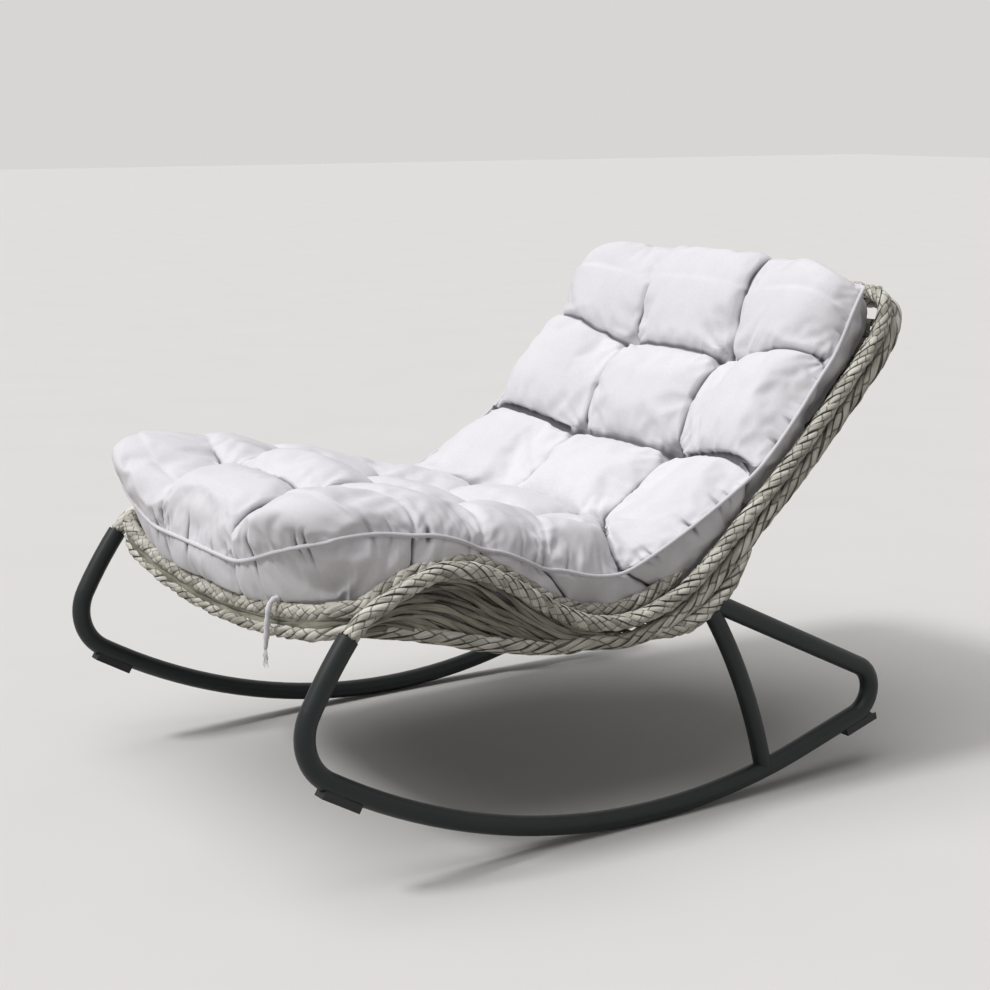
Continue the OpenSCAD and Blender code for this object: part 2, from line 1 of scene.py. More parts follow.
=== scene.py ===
# %% [markdown]
# A rattan rocking chair: two bent-tube rocker frames carry a basket of plaited rush, and one loose
# tufted cushion fills it. The steel parts come ready from the construction model and only get their
# finish here. Everything soft or plaited is built again: ropes, woven panels, cushion, piping and tie.

# %% Load the frame
import math
import bpy
import numpy as np
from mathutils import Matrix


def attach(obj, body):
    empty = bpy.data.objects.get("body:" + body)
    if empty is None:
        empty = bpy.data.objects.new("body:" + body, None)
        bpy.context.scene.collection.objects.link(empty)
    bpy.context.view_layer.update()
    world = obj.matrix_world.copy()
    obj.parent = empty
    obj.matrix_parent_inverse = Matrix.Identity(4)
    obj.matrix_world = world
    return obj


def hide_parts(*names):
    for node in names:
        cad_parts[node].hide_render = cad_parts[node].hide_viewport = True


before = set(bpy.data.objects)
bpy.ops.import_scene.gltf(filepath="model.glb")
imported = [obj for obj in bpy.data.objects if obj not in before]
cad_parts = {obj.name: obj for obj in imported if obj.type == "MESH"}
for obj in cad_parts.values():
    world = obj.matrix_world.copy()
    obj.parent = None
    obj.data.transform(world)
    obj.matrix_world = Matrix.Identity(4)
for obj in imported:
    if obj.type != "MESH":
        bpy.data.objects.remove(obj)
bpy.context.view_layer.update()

# %% [markdown]
# The camera stands where the photographer stood, to the chair's left and a little in front of it. It was
# found from the two rocker frames, which are two equal shapes in parallel upright planes. A long lens keeps
# the chair's proportions calm.

# %% Camera
CAMERA_PLACE = (2.536, -1.690, 1.063)
CAMERA_TURN = (78.46, 0.0, 56.32)
lens = bpy.data.cameras.new("camera")
lens.lens = 69.09
lens.sensor_width = 36.0
camera = bpy.data.objects.new("camera", lens)
camera.location = CAMERA_PLACE
camera.rotation_euler = [math.radians(a) for a in CAMERA_TURN]
bpy.context.scene.collection.objects.link(camera)
bpy.context.scene.camera = camera
print("camera at", CAMERA_PLACE)

# %% [markdown]
# All soft parts follow curves through a few listed places, given in millimetres in the side plane's
# own measure, whose zero lies a little in front of the chair's middle. A Catmull-Rom curve passes through
# every place, so the numbers can be read as real positions.

# %% Curves through chosen places
MM = 0.001
SHIFT = 46.3
HALF_TRACK = 393.0


def unit(v):
    return v / np.linalg.norm(v, axis=-1, keepdims=True)


def catmull(a, b, c, d, t):
    return 0.5 * (2 * b + t * (c - a) + t * t * (2 * a - 5 * b + 4 * c - d) + t**3 * (3 * b - a - 3 * c + d))


def smooth(places, steps, closed=False):
    p = np.asarray(places, float)
    n = len(p)
    pick = (lambda i: p[i % n]) if closed else (lambda i: p[min(max(i, 0), n - 1)])
    line = [catmull(pick(i - 1), pick(i), pick(i + 1), pick(i + 2), k / steps)
            for i in range(n if closed else n - 1) for k in range(steps)]
    return np.array(line if closed else line + [p[-1]])


def runs_of(line):
    return np.concatenate([[0], np.cumsum(np.linalg.norm(np.diff(line, axis=0), axis=1))])


def at_run(line, runs, s):
    return np.stack([np.interp(s, runs, line[:, k]) for k in range(3)], axis=-1)


def flip(p):
    return [-p[0], p[1], p[2]]


# %% [markdown]
# The tie at the cushion's front is a short cord of the cover's own cloth. It comes out of the border's lower
# seam and hangs down in front of the plaited rail, and its end is frayed. The photograph shows it from end
# to end, so its length is the route's own. It's a thin tube swept along the route, and so are its threads.

# %% A tube along a line
def carried_frames(line, closed=False):
    """Directions across a line, carried along it without twist; on a closed line they meet again."""
    n = len(line)
    ahead = np.roll(line, -1, 0) - np.roll(line, 1, 0)
    if not closed:
        ahead[0], ahead[-1] = line[1] - line[0], line[-1] - line[-2]
    t = unit(ahead)
    v = np.array([0.0, 0.0, 1.0])
    u = []
    for k in range(n):
        v = unit(v - (v @ t[k]) * t[k])
        u.append(v)
    u = np.array(u)
    w = np.cross(t, u)
    if closed:
        back = unit(u[-1] - (u[-1] @ t[0]) * t[0])
        miss = math.atan2(back @ w[0], back @ u[0])
        turn = -miss * np.arange(n) / n
        c, s = np.cos(turn)[:, None], np.sin(turn)[:, None]
        u, w = u * c + w * s, w * c - u * s
    return t, u, w


def make_mesh(name, points_mm, faces, maps=None, tones=None):
    """A mesh object at the origin from places in millimetres; maps are UV maps, given point by point."""
    mesh = bpy.data.meshes.new(name)
    mesh.from_pydata((np.asarray(points_mm) * MM).tolist(), [], faces)
    corner = np.zeros(len(mesh.loops), int)
    mesh.loops.foreach_get("vertex_index", corner)
    for map_name, places in (maps or {}).items():
        layer = mesh.uv_layers.new(name=map_name)
        layer.data.foreach_set("uv", np.asarray(places)[corner].astype(np.float32).ravel())
    if tones is not None:
        mesh.attributes.new("tone", "FLOAT", "POINT").data.foreach_set("value", np.asarray(tones, np.float32))
    mesh.update()
    piece = bpy.data.objects.new(name, mesh)
    bpy.context.scene.collection.objects.link(piece)
    mesh.polygons.foreach_set("use_smooth", [True] * len(mesh.polygons))
    return piece


def tube_parts(line, radii, sides, closed=False):
    n = len(line)
    _, u, w = carried_frames(line, closed)
    turn = np.arange(sides) * 2 * math.pi / sides
    ring = np.cos(turn)[None, :, None] * u[:, None] + np.sin(turn)[None, :, None] * w[:, None]
    points = (line[:, None] + np.asarray(radii).reshape(-1, 1, 1) * ring).reshape(-1, 3)
    faces = []
    for i in range(n if closed else n - 1):
        a, b = i * sides, ((i + 1) % n) * sides
        faces += [(a + k, a + (k + 1) % sides, b + (k + 1) % sides, b + k) for k in range(sides)]
    if not closed:
        faces += [tuple(range(sides - 1, -1, -1)), tuple((n - 1) * sides + k for k in range(sides))]
    return points, faces


def stacked(parts):
    """Places and faces of several parts, which come first in each part, as those of one."""
    faces, base = [], 0
    for part in parts:
        faces += [tuple(i + base for i in face) for face in part[1]]
        base += len(part[0])
    return np.concatenate([part[0] for part in parts]), faces


# %% The tie
TIE_PLACES = [[223, -559, 390], [223, -567, 388.5], [223, -573, 383], [223, -576, 372], [221, -577, 354],
              [218, -577, 335], [214, -577, 316]]
TIE_D, TIE_SIDES = 8.0, 12
TIP_RUN, TIP_SHARE = 12, 0.55
tie_line = smooth(np.array(TIE_PLACES) + [0, SHIFT, 0], 4)
tie_runs = runs_of(tie_line)
tie_length = tie_runs[-1]
tie_swell = 1 + 0.12 * np.sin(tie_runs / 3.1) + 0.06 * np.sin(tie_runs / 1.3 + 1)
tie_taper = np.interp(tie_runs, [0, tie_length - TIP_RUN, tie_length], [1, 1, TIP_SHARE])
tie = make_mesh("tie_cord", *tube_parts(tie_line, TIE_D / 2 * tie_swell * tie_taper, TIE_SIDES))

FRAY = [(-6, 1, -20), (-4, -1, -25), (-2, 1, -21), (0, -1, -27), (2, 0, -22), (4, 1, -26), (6, -1, -19),
        (-8, 0, -13), (8, 0, -12), (1, 2, -16)]
FRAY_ROOT_R, FRAY_TIP_R, FRAY_SIDES = 1.3, 0.4, 6
strands = []
for dx, dy, dz in FRAY:
    end = tie_line[-1]
    strand = smooth([end + [dx * 0.15, 0, 3], end + [dx * 0.5, dy, dz * 0.45], end + [dx, dy * 1.5, dz]], 4)
    strands.append(tube_parts(strand, np.linspace(FRAY_ROOT_R, FRAY_TIP_R, len(strand)), FRAY_SIDES))
fray = make_mesh("tie_fray", *stacked(strands))
for piece in (tie, fray):
    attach(piece, "cushion")
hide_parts("front_tie")
print("tie", round(tie_length, 1), "mm long")

# %% [markdown]
# Finishes are built from shader nodes, and a few small helpers keep them short. One turns the familiar sRGB
# hex colour into the linear numbers that the shader wants. Another adds a node and fills its sockets: a
# socket of another node is linked, and a number or colour is set. A paint function makes a material's nodes
# and says what each socket of its shader takes.

# %% Material helpers
def linear(hex_colour):
    parts = [int(hex_colour[i:i + 2], 16) / 255 for i in (1, 3, 5)]
    return (*[c / 12.92 if c <= 0.04045 else ((c + 0.055) / 1.055) ** 2.4 for c in parts], 1.0)


def fill(tree, sockets, values):
    """Links each source to its socket, and sets each number or colour; keys are names or numbers."""
    for key, value in values.items():
        named = [s for s in sockets if s.name == key and s.enabled]
        socket = named[0] if named else sockets[key]
        if isinstance(value, bpy.types.NodeSocket):
            tree.links.new(value, socket)
        else:
            socket.default_value = value


def add(tree, kind, values=None, **settings):
    """Adds a node; settings are its properties, values go to its sockets by name or number."""
    node = tree.nodes.new(kind)
    for key, value in settings.items():
        setattr(node, key, value)
    fill(tree, node.inputs, values or {})
    return node


def new_material(name, paint, *colours):
    """The paint function gives the shader's sockets their sources and values."""
    material = bpy.data.materials.new(name)
    material.use_nodes = True
    tree = material.node_tree
    fill(tree, tree.nodes["Principled BSDF"].inputs, paint(tree, *colours))
    return material


def finish_with(piece, material):
    piece.data.materials.clear()
    piece.data.materials.append(material)


# %% Nodes that the finishes share
def object_place(tree):
    return add(tree, "ShaderNodeTexCoord").outputs["Object"]


def maths(tree, operation, *values, **settings):
    node = add(tree, "ShaderNodeMath", dict(enumerate(values)), operation=operation, **settings)
    return node.outputs["Value"]


def noise(tree, place, scale, detail):
    return add(tree, "ShaderNodeTexNoise", {"Vector": place, "Scale": scale, "Detail": detail}).outputs["Fac"]


def remap(tree, value, low, high, start=0.0, end=1.0, kind="LINEAR"):
    """Start to end of the value becomes low to high."""
    values = {"Value": value, "From Min": start, "From Max": end, "To Min": low, "To Max": high}
    return add(tree, "ShaderNodeMapRange", values, interpolation_type=kind).outputs["Result"]


def bumped(tree, height, strength, distance, **more):
    values = {"Height": height, "Strength": strength, "Distance": distance, **more}
    return add(tree, "ShaderNodeBump", values).outputs["Normal"]


def blend(tree, share, first, second):
    return add(tree, "ShaderNodeMix", {0: share, 6: first, 7: second}, data_type="RGBA").outputs[2]


def ramp(tree, factor, stops):
    node = add(tree, "ShaderNodeValToRGB", {"Fac": factor})
    elements = node.color_ramp.elements
    while len(elements) < len(stops):
        elements.new(0.5)
    for element, (place, colour) in zip(elements, stops):
        element.position = place
        element.color = linear(colour)
    return node.outputs["Color"]


# %% [markdown]
# The tubes are mild steel with a baked powder coat in satin anthracite. Powder coat flows out smooth but
# keeps a faint orange-peel, so the gloss is soft and slightly broken up. The peel's peaks are 2 mm apart.

# %% Powder-coated steel
PEEL_STEP, PEEL_HEIGHT = 2 * MM, 0.3 * MM


def powder_coat(tree):
    place = object_place(tree)
    peel, cloud = noise(tree, place, 1 / PEEL_STEP, 2.0), noise(tree, place, 14.0, 3.0)
    return {"Base Color": ramp(tree, cloud, [(0.3, "#181c1d"), (0.7, "#202627")]),
            "Roughness": remap(tree, cloud, 0.42, 0.52),
            "Normal": bumped(tree, peel, 0.06, PEEL_HEIGHT),
            "Specular IOR Level": 0.35}


STEEL_NODES = ["rocker_frame_left", "rocker_frame_right", "strut_left", "strut_right", "hoop_core",
               "lower_core", "seat_bar_front", "seat_bar_rear", "lumbar_bar", "back_bar"]
coat = new_material("powder_coated_steel", powder_coat)
for name in STEEL_NODES:
    finish_with(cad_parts[name], coat)
print("powder coat on", len(STEEL_NODES), "nodes")

# %% [markdown]
# The stopper pads are moulded black rubber, dull and slightly dusty, and their screws are zinc plated.

# %% Rubber and zinc
GRAIN_STEP, GRAIN_HEIGHT, SPANGLE_STEP = 1.2 * MM, 0.3 * MM, 3 * MM


def moulded_rubber(tree):
    place = object_place(tree)
    grain, dust = noise(tree, place, 1 / GRAIN_STEP, 3.0), noise(tree, place, 40.0, 4.0)
    return {"Base Color": ramp(tree, dust, [(0.35, "#131415"), (0.75, "#232426")]),
            "Roughness": 0.62,
            "Normal": bumped(tree, grain, 0.25, GRAIN_HEIGHT)}


def zinc_plate(tree):
    spangle = add(tree, "ShaderNodeTexVoronoi", {"Vector": object_place(tree), "Scale": 1 / SPANGLE_STEP})
    return {"Base Color": ramp(tree, spangle.outputs["Distance"], [(0.1, "#8f9396"), (0.9, "#a9adb0")]),
            "Metallic": 1.0,
            "Roughness": 0.35}


rubber = new_material("moulded_rubber", moulded_rubber)
for name in ("stopper_front_left", "stopper_front_right", "stopper_rear_left", "stopper_rear_right"):
    finish_with(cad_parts[name], rubber)
finish_with(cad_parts["stopper_screws"], new_material("zinc_plated_steel", zinc_plate))

# %% [markdown]
# The ropes are the basket's outline. The hoop rope runs from one front leg's top over the arm, up the back,
# round the top and down the other side. The lower rope is a closed loop that lies beside it on the back and
# under it along the seat. The seat edge rope lies on the front rail and on the inner side of the arms.

# %% Rope routes
ROPE_D = 27.0
LAY_GAP = 0.4
ROPE_PITCH = ROPE_D + LAY_GAP
LEG_TOP = (-543.0, 368.3)
HOOP_PLACES = [
    [0, LEG_TOP[0], LEG_TOP[1]], [0, LEG_TOP[0] + 26, LEG_TOP[1] + 24],
    [0, -463, 419], [0, -405, 438], [0, -358, 437], [1, -306, 419], [2, -244, 382], [4, -193, 350],
    [5, -136, 327], [5, -71, 320], [6, -3, 333], [8, 66, 366], [11, 181, 463], [14, 260, 530],
    [18, 342, 609], [21, 428, 699], [28, 455, 744], [56, 470, 767]]
TOP_PLACES = [[0.66, 486, 771], [0.33, 496, 772], [0, 500, 772]]
LAY_ANGLES = [-90, -88, -72, -52, -45, -45, -44, -43, -38, -38, -40, -41, -41]
LAY_START = 8
RAIL_PLACES = [[1, -556, 328], [0.67, -555, 333], [0.4, -552, 345]]
CORNER_PLACES = [[83, -547, 357], [41, -531, 368], [20, -498, 369], [8, -446, 360], [4, -358, 336],
                 [4, -285, 317], [5, -198, 301]]
EAR_PLACES = [[83, -548, 385], [44, -537, 396], [30, -505, 399], [28, -455, 425]]
EDGE_LIFTS = {3: 6, 4: 16}
FULL_LIFT = 26
EDGE_START, EDGE_END = 3, 11
LOOSE_GAP, TIGHT_GAP, TIGHT_FROM = 1.8, 0.4, 10
ROPE_STEP = 3.0

hoop_half = ([[HALF_TRACK - a, y, z] for a, y, z in HOOP_PLACES]
             + [[share * HALF_TRACK, y, z] for share, y, z in TOP_PLACES])


def beside_hoop(i):
    a = math.radians(LAY_ANGLES[i - LAY_START])
    gap = ROPE_PITCH + (LOOSE_GAP if i < TIGHT_FROM else TIGHT_GAP)
    return [hoop_half[i][0], hoop_half[i][1] + gap * math.cos(a), hoop_half[i][2] + gap * math.sin(a)]


def inside_hoop(i):
    before, after = hoop_half[i - 1], hoop_half[i + 1]
    a = math.atan2(after[2] - before[2], after[1] - before[1])
    lift = math.radians(EDGE_LIFTS.get(i, FULL_LIFT))
    way = np.array([-math.cos(lift), -math.sin(lift) * math.sin(a), math.sin(lift) * math.cos(a)])
    return list(np.array(hoop_half[i]) + (ROPE_PITCH + TIGHT_GAP) * way)


lower_half = ([[(1 - share) * HALF_TRACK, y, z] for share, y, z in RAIL_PLACES]
              + [[HALF_TRACK - a, y, z] for a, y, z in CORNER_PLACES]
              + [beside_hoop(i) for i in range(LAY_START, len(hoop_half))])
edge_half = ([[(1 - share) * HALF_TRACK, y, z + ROPE_PITCH] for share, y, z in RAIL_PLACES]
             + [[HALF_TRACK - a, y, z] for a, y, z in EAR_PLACES]
             + [inside_hoop(i) for i in range(EDGE_START, EDGE_END + 1)])
hoop_places = hoop_half + [flip(p) for p in hoop_half[-2::-1]]
lower_places = lower_half + [flip(p) for p in lower_half[-2:0:-1]]
edge_places = [flip(p) for p in edge_half[:0:-1]] + edge_half


def rope_line(places, closed=False):
    """A rope's centre line in even steps, with directions across it."""
    dense = smooth(np.array(places) + [0, SHIFT, 0], 24, closed)
    loop = np.concatenate([dense, dense[:1]]) if closed else dense
    runs = runs_of(loop)
    n = int(runs[-1] / ROPE_STEP)
    s = np.arange(n) * runs[-1] / n if closed else np.linspace(0, runs[-1], n)
    line = at_run(loop, runs, s)
    _, u, w = carried_frames(line, closed)
    return {"line": line, "u": u, "w": w, "s": s, "length": runs[-1], "closed": closed}


hoop, lower, edge = rope_line(hoop_places), rope_line(lower_places, True), rope_line(edge_places)
for name, rope in (("hoop", hoop), ("lower", lower), ("edge", edge)):
    print(name, "rope", round(rope["length"]), "mm")

# %% [markdown]
# A plaited rope is six flat rush leaves laid side by side round a core, each overlapping the next like a
# shingle. Leaves of the other hand pass over and under them, which cuts each leaf into lozenges: every
# second lozenge stands a little higher, and thin creases part them, darkened with painted shade.
# Neighbouring ropes are laid in opposite directions, so two rows read as a herringbone. Each leaf's width,
# lift and place wander slowly.

# %% Leaves laid round a core
LEAF = np.array([(-1.0, 0.0), (-0.7, 0.7), (0.0, 1.0), (0.7, 0.7), (1.0, 0.0), (0.0, -0.5)])
LEAVES = 6
CLOSE_LAY = {"lead": 120.0, "crossings": 4}
LONG_LAY = {"lead": 185.0, "crossings": 3}
LEAF_WIDTH, LEAF_THICK, SHINGLE, OVER, SUNK = 12.8, 2.0, 0.8, 1.1, 1.5
# Each of these is a height, and the shortest and longest wave in millimetres.
WIDTH_WANDER, LIFT_WANDER, TURN_WANDER = (0.12, 40, 160), (0.45, 25, 120), (0.09, 50, 220)
TONE_WANDER, CROSSING_WANDER = (0.2, 40, 260), (0.16, 60, 200)
WANDER_TERMS = 5
THIN_END = 0.25
# Leaves start this far apart in their maps, so that no two of them have the same streaks or tones.
FIBRE_APART, LOZENGE_APART = 50, 97


def wander(rng, s, shortest, longest, around=None):
    """A smooth random line about zero, about one high; round a closed rope it meets itself again."""
    total = np.zeros_like(s)
    for _ in range(WANDER_TERMS):
        wave = rng.uniform(shortest, longest)
        if around:
            wave = around / max(1, round(around / wave))
        total += np.sin(2 * math.pi * s / wave + rng.uniform(0, 2 * math.pi))
    return total / math.sqrt(WANDER_TERMS / 2)


def strip_faces(n, m, turned=False):
    """Faces of a ring of m points swept through n stations, closed at both ends."""
    faces = []
    for i in range(n - 1):
        p, q = i * m, (i + 1) * m
        faces += [(p + j, q + j, q + (j + 1) % m, p + (j + 1) % m) for j in range(m)]
    faces += [tuple(range(m)), tuple((n - 1) * m + j for j in range(m - 1, -1, -1))]
    return [f[::-1] for f in faces] if turned else faces


def join_parts(name, parts):
    """Parts are places, faces, fibre map, lozenge map and tone."""
    fibre, lozenge, tones = (np.concatenate([part[k] for part in parts]) for k in (2, 3, 4))
    return make_mesh(name, *stacked(parts), {"fibre": fibre, "lozenge": lozenge}, tones)


# %% One plaited rope
def plaited_rope(name, rope, hand, seed, lay_of=CLOSE_LAY, taper=0.0, radius=ROPE_D / 2):
    """Hand 1 or -1 is the way it's laid; a taper thins both ends of an open rope over that run."""
    rng = np.random.default_rng(seed)
    length, closed = rope["length"], rope["closed"]
    size = np.ones(len(rope["s"]))
    if taper:
        from_end = np.minimum(rope["s"], length - rope["s"])
        size = THIN_END + (1 - THIN_END) * np.sqrt(np.clip(from_end / taper, 0, 1))
    s = np.append(rope["s"], length) if closed else rope["s"]
    lay = 2 * math.pi * max(1, round(length / lay_of["lead"])) / length
    slant = math.atan(radius * lay)
    wrap = (lambda a, step=0: np.concatenate([a - step, a, a + step])) if closed else (lambda a, step=0: a)
    known = wrap(rope["s"], length)
    along_rope = {key: wrap(a) for key, a in (("line", rope["line"]), ("u", rope["u"]), ("w", rope["w"]))}
    around = length if closed else None
    varied = lambda high, shortest, longest: high * wander(rng, s, shortest, longest, around)
    parts = []
    for k in range(LEAVES):
        broad = LEAF_WIDTH * (1 + varied(*WIDTH_WANDER))
        lift = varied(*LIFT_WANDER)
        drift = varied(*TURN_WANDER)
        shade = 0.5 + varied(*TONE_WANDER) + rng.uniform(-0.2, 0.2)
        across = LEAF[None, :, 0] * broad[:, None] / 2
        turn = (lay * s + 2 * math.pi * k / LEAVES + drift)[:, None] + across * math.cos(slant) / radius
        run = s[:, None] - across * math.sin(slant)
        run = run if closed else np.clip(run, 0, length)
        phase = lay_of["crossings"] * (turn + lay * run) / (2 * math.pi) + rng.uniform(0, 1)
        phase = phase + varied(*CROSSING_WANDER)[:, None]
        height = LEAF[None, :, 1] * LEAF_THICK + SHINGLE * LEAF[None, :, 0] + lift[:, None]
        height = height + OVER * np.maximum(np.sin(math.pi * phase), 0)
        flat = run.ravel()
        far = (radius - LEAF_THICK - SUNK + height.ravel()) * np.interp(flat, known, wrap(size))
        at = {key: at_run(a, known, flat) for key, a in along_rope.items()}
        angle = hand * turn.ravel()[:, None]
        points = at["line"] + far[:, None] * (np.cos(angle) * at["u"] + np.sin(angle) * at["w"])
        fibre = np.stack([np.repeat(s[:, None], len(LEAF), 1), across + FIBRE_APART * k], -1) * MM
        lozenge = np.stack([phase + LOZENGE_APART * k, np.broadcast_to(np.abs(LEAF[:, 0]), phase.shape)], -1)
        tones = np.repeat(np.clip(shade, 0, 1), len(LEAF))
        leaf_faces = strip_faces(len(s), len(LEAF), hand < 0)
        parts.append((points, leaf_faces, fibre.reshape(-1, 2), lozenge.reshape(-1, 2), tones))
    pith, faces = tube_parts(rope["line"], (radius - LEAF_THICK - SUNK) * size, 10, closed)
    nothing = np.zeros((len(pith), 2))
    parts.append((pith, faces, nothing, nothing, nothing[:, 0]))
    piece = join_parts(name, parts)
    print(name, len(piece.data.polygons), "faces")
    return piece


# %% [markdown]
# Rush is a dried leaf: a matt, fibrous greige with pale and dark streaks along its length. The streaks
# follow each leaf through its fibre map. The lozenge map counts the crossings in its first number and gives
# the distance from the leaf's middle in its second, so each lozenge gets its own tone. Painted shade darkens
# the creases between lozenges and a thin rim along each leaf's edges, where the leaves tuck under each other.

# %% Rush leaf
# Painted shade: how dark the creases and leaf rims get overall, and the creases' share of it.
RIM_DARK, CREASE_DARK = 0.88, 0.75
# Each streak has a scale along the leaf, a width across it in millimetres, and a detail.
STREAKS = ((18.0, 1.3, 3.0), (40.0, 4.5, 2.0))


def rush_leaf(tree, dark, mid, pale):
    fibre = add(tree, "ShaderNodeUVMap", uv_map="fibre").outputs["UV"]
    lozenge = add(tree, "ShaderNodeUVMap", uv_map="lozenge").outputs["UV"]
    tone = add(tree, "ShaderNodeAttribute", attribute_name="tone").outputs["Fac"]
    streaks = []
    for run, width, detail in STREAKS:
        place = add(tree, "ShaderNodeMapping", {"Vector": fibre, "Scale": (run, 1 / (width * MM), 1.0)})
        streaks.append(noise(tree, place.outputs["Vector"], 1.0, detail))
    fine, broad = streaks
    streak = maths(tree, "MULTIPLY_ADD", fine, 0.5, maths(tree, "MULTIPLY", broad, 0.5))
    split = add(tree, "ShaderNodeSeparateXYZ", {"Vector": lozenge})
    crossing = maths(tree, "MULTIPLY_ADD", broad, 0.16, split.outputs["X"])
    crossing = maths(tree, "SUBTRACT", crossing, 0.08)
    # Painted shade: the creases between lozenges and the rim along each leaf's edges are blended towards
    # #24231c, where the leaves tuck under each other.
    crease_shade = remap(tree, maths(tree, "PINGPONG", crossing, 0.5), 1.0, 0.0, 0.02, 0.09, "SMOOTHSTEP")
    rim_shade = remap(tree, split.outputs["Y"], 0.0, 1.0, 0.8, 0.97, "SMOOTHSTEP")
    edge = maths(tree, "MAXIMUM", maths(tree, "MULTIPLY", crease_shade, CREASE_DARK), rim_shade)
    patch = add(tree, "ShaderNodeTexWhiteNoise", {"W": maths(tree, "FLOOR", crossing)}, noise_dimensions="1D")
    leaf_tone = maths(tree, "MULTIPLY_ADD", tone, 0.3, -0.15)
    patch_tone = maths(tree, "MULTIPLY_ADD", patch.outputs["Value"], 0.22, -0.11)
    total = maths(tree, "ADD", streak, maths(tree, "ADD", leaf_tone, patch_tone))
    tint = ramp(tree, total, [(0.22, dark), (0.47, mid), (0.72, pale)])
    relief = maths(tree, "SUBTRACT", maths(tree, "MULTIPLY", streak, 0.5), edge)
    return {"Base Color": blend(tree, maths(tree, "MULTIPLY", edge, RIM_DARK), tint, linear("#24231c")),
            "Roughness": remap(tree, broad, 0.52, 0.74),
            "Normal": bumped(tree, relief, 0.8, 1.0 * MM)}


rush = new_material("dried_rush_leaf", rush_leaf, "#7f7c72", "#b6b2a7", "#dcd9d0")
# A darker copy of the same rush is painted shade, for the strands that lie in shade under the cushion and the
# arms: the woven bed, the side panels and the front band.
shaded_rush = new_material("dried_rush_leaf_painted_shade", rush_leaf, "#3b3a30", "#6c6a5e", "#9b9888")

# %% Dressing a piece of the basket
def dress(piece, material, node=None):
    """Finishes a piece of the basket, joins it to the chair, and hides the solid it stands for, if any."""
    finish_with(piece, material)
    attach(piece, "chair")
    if node:
        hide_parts(node)


# %% The three ropes
dress(plaited_rope("hoop_rope_plait", hoop, 1, 11), rush, "hoop_rope")
dress(plaited_rope("lower_rope_plait", lower, -1, 12, LONG_LAY), rush, "lower_rope")
dress(plaited_rope("seat_edge_plait", edge, -1, 13, taper=60.0), rush, "seat_edge_rope")

# %% [markdown]
# Between the side rails hangs the woven bed: cross strands from rail to rail, and lengthwise strands that
# pass over and under them. The bed sags under the seat and to the rear on the back. It's measured by the
# side rail's own length, so every strand finds its place from one number.

# %% The side rail and the sag
rail_places = lower_half[len(RAIL_PLACES) + 1:len(lower_half) - len(TOP_PLACES)]
rail_line = smooth(np.array(rail_places) + [0, SHIFT, 0], 4)
rail_runs = runs_of(rail_line)
rail_len = rail_runs[-1]
STRAND_D = 8.0
SEAT_SAG, BACK_SAG, FRONT_DIP, TOP_RUN, TOP_SAG = 14.0, 36.0, 30.0, 260.0, 6.0
SAG_STATIONS = [0, 90, 310, 560, 760, rail_len - TOP_RUN, rail_len]
SAGS = [SEAT_SAG + FRONT_DIP] * 2 + [SEAT_SAG] * 2 + [BACK_SAG] * 2 + [TOP_SAG]
WEAVE_START, CREASE_RUN, WEAVE_END = 34.0, 610.0, rail_len - 46.0


def on_rail(s):
    return at_run(rail_line, rail_runs, np.asarray(s, float))


def sag_at(s):
    return np.interp(s, SAG_STATIONS, SAGS)


def bed_at(x, s, lift):
    """Place on the sagging bed, at x across and s along the rail, raised by lift towards the sitter."""
    x, s = np.broadcast_arrays(np.asarray(x, float), np.asarray(s, float))
    p = on_rail(s)
    d = unit(on_rail(s + 4) - on_rail(s - 4))
    slope = np.arctan2(d[..., 2], d[..., 1])
    sag = sag_at(s)
    c = np.sqrt(1 - d[..., 0] ** 2)
    reach = p[..., 0] - (ROPE_D / 2 + LAY_GAP / 2 + STRAND_D * np.abs(d[..., 0])) / c
    arc_r = (reach**2 + sag**2) / (2 * sag)
    drop = np.sqrt(np.maximum(arc_r**2 - x**2, 0)) - arc_r + sag - lift
    return np.stack([x, p[..., 1] + drop * np.sin(slope), p[..., 2] - drop * np.cos(slope)], -1), reach


# %% [markdown]
# Every strand of the bed is a flat strip of the same rush, about 13 mm wide. A strip is swept along its
# line with its flat side kept to the sitter, and it dips under each strand that it meets and rises over
# the next.

# %% Flat strips
CROSS_STRIP, RUNNER_STRIP, BAND_STRIP, SIDE_THICK = (13.0, 2.4), (15.0, 2.2), (10.5, 2.4), 2.4
STRIP_APART = 31


def strip_parts(line, facing, width, thick, seed, wobble=0.12):
    """A flat strip along a line: its flat side looks along facing."""
    rng = np.random.default_rng(seed)
    n, m = len(line), len(LEAF)
    s = runs_of(line)
    t = unit(np.gradient(line, axis=0))
    up = unit(facing - (facing * t).sum(-1, keepdims=True) * t)
    side = np.cross(up, t)
    broad = width * (1 + wobble * wander(rng, s, 50, 200))
    twist = 0.10 * wander(rng, s, 60, 200)
    a = LEAF[None, :, 0] * broad[:, None] / 2
    h = (LEAF[None, :, 1] - 0.3) * thick + a * twist[:, None]
    points = line[:, None] + a[..., None] * side[:, None] + h[..., None] * up[:, None]
    fibre = np.stack([np.repeat(s[:, None], m, 1), a + STRIP_APART * seed], -1).reshape(-1, 2) * MM
    lozenge = np.stack([np.full((n, m), seed + 0.5), np.broadcast_to(np.abs(LEAF[:, 0]), (n, m))], -1)
    tone = np.clip(0.5 + 0.25 * wander(rng, s, 80, 300) + rng.uniform(-0.25, 0.25), 0, 1)
    return points.reshape(-1, 3), strip_faces(n, m), fibre, lozenge.reshape(-1, 2), np.repeat(tone, m)


def facing_at(x, s):
    """Direction from the bed towards the sitter."""
    return unit(bed_at(x, s, 10.0)[0] - bed_at(x, s, 0.0)[0])


# %% Cross strands and runners
RUNNER_STEP, RUNNERS_A_SIDE = 0.2 * HALF_TRACK / 3, 13
WAVE, BED_LIFT, RUNNER_OVER, PAST_CREASE = 2.3, 3.0, 4, 8
CROSS_POINTS, RUNNER_POINT_STEP = 89, 9


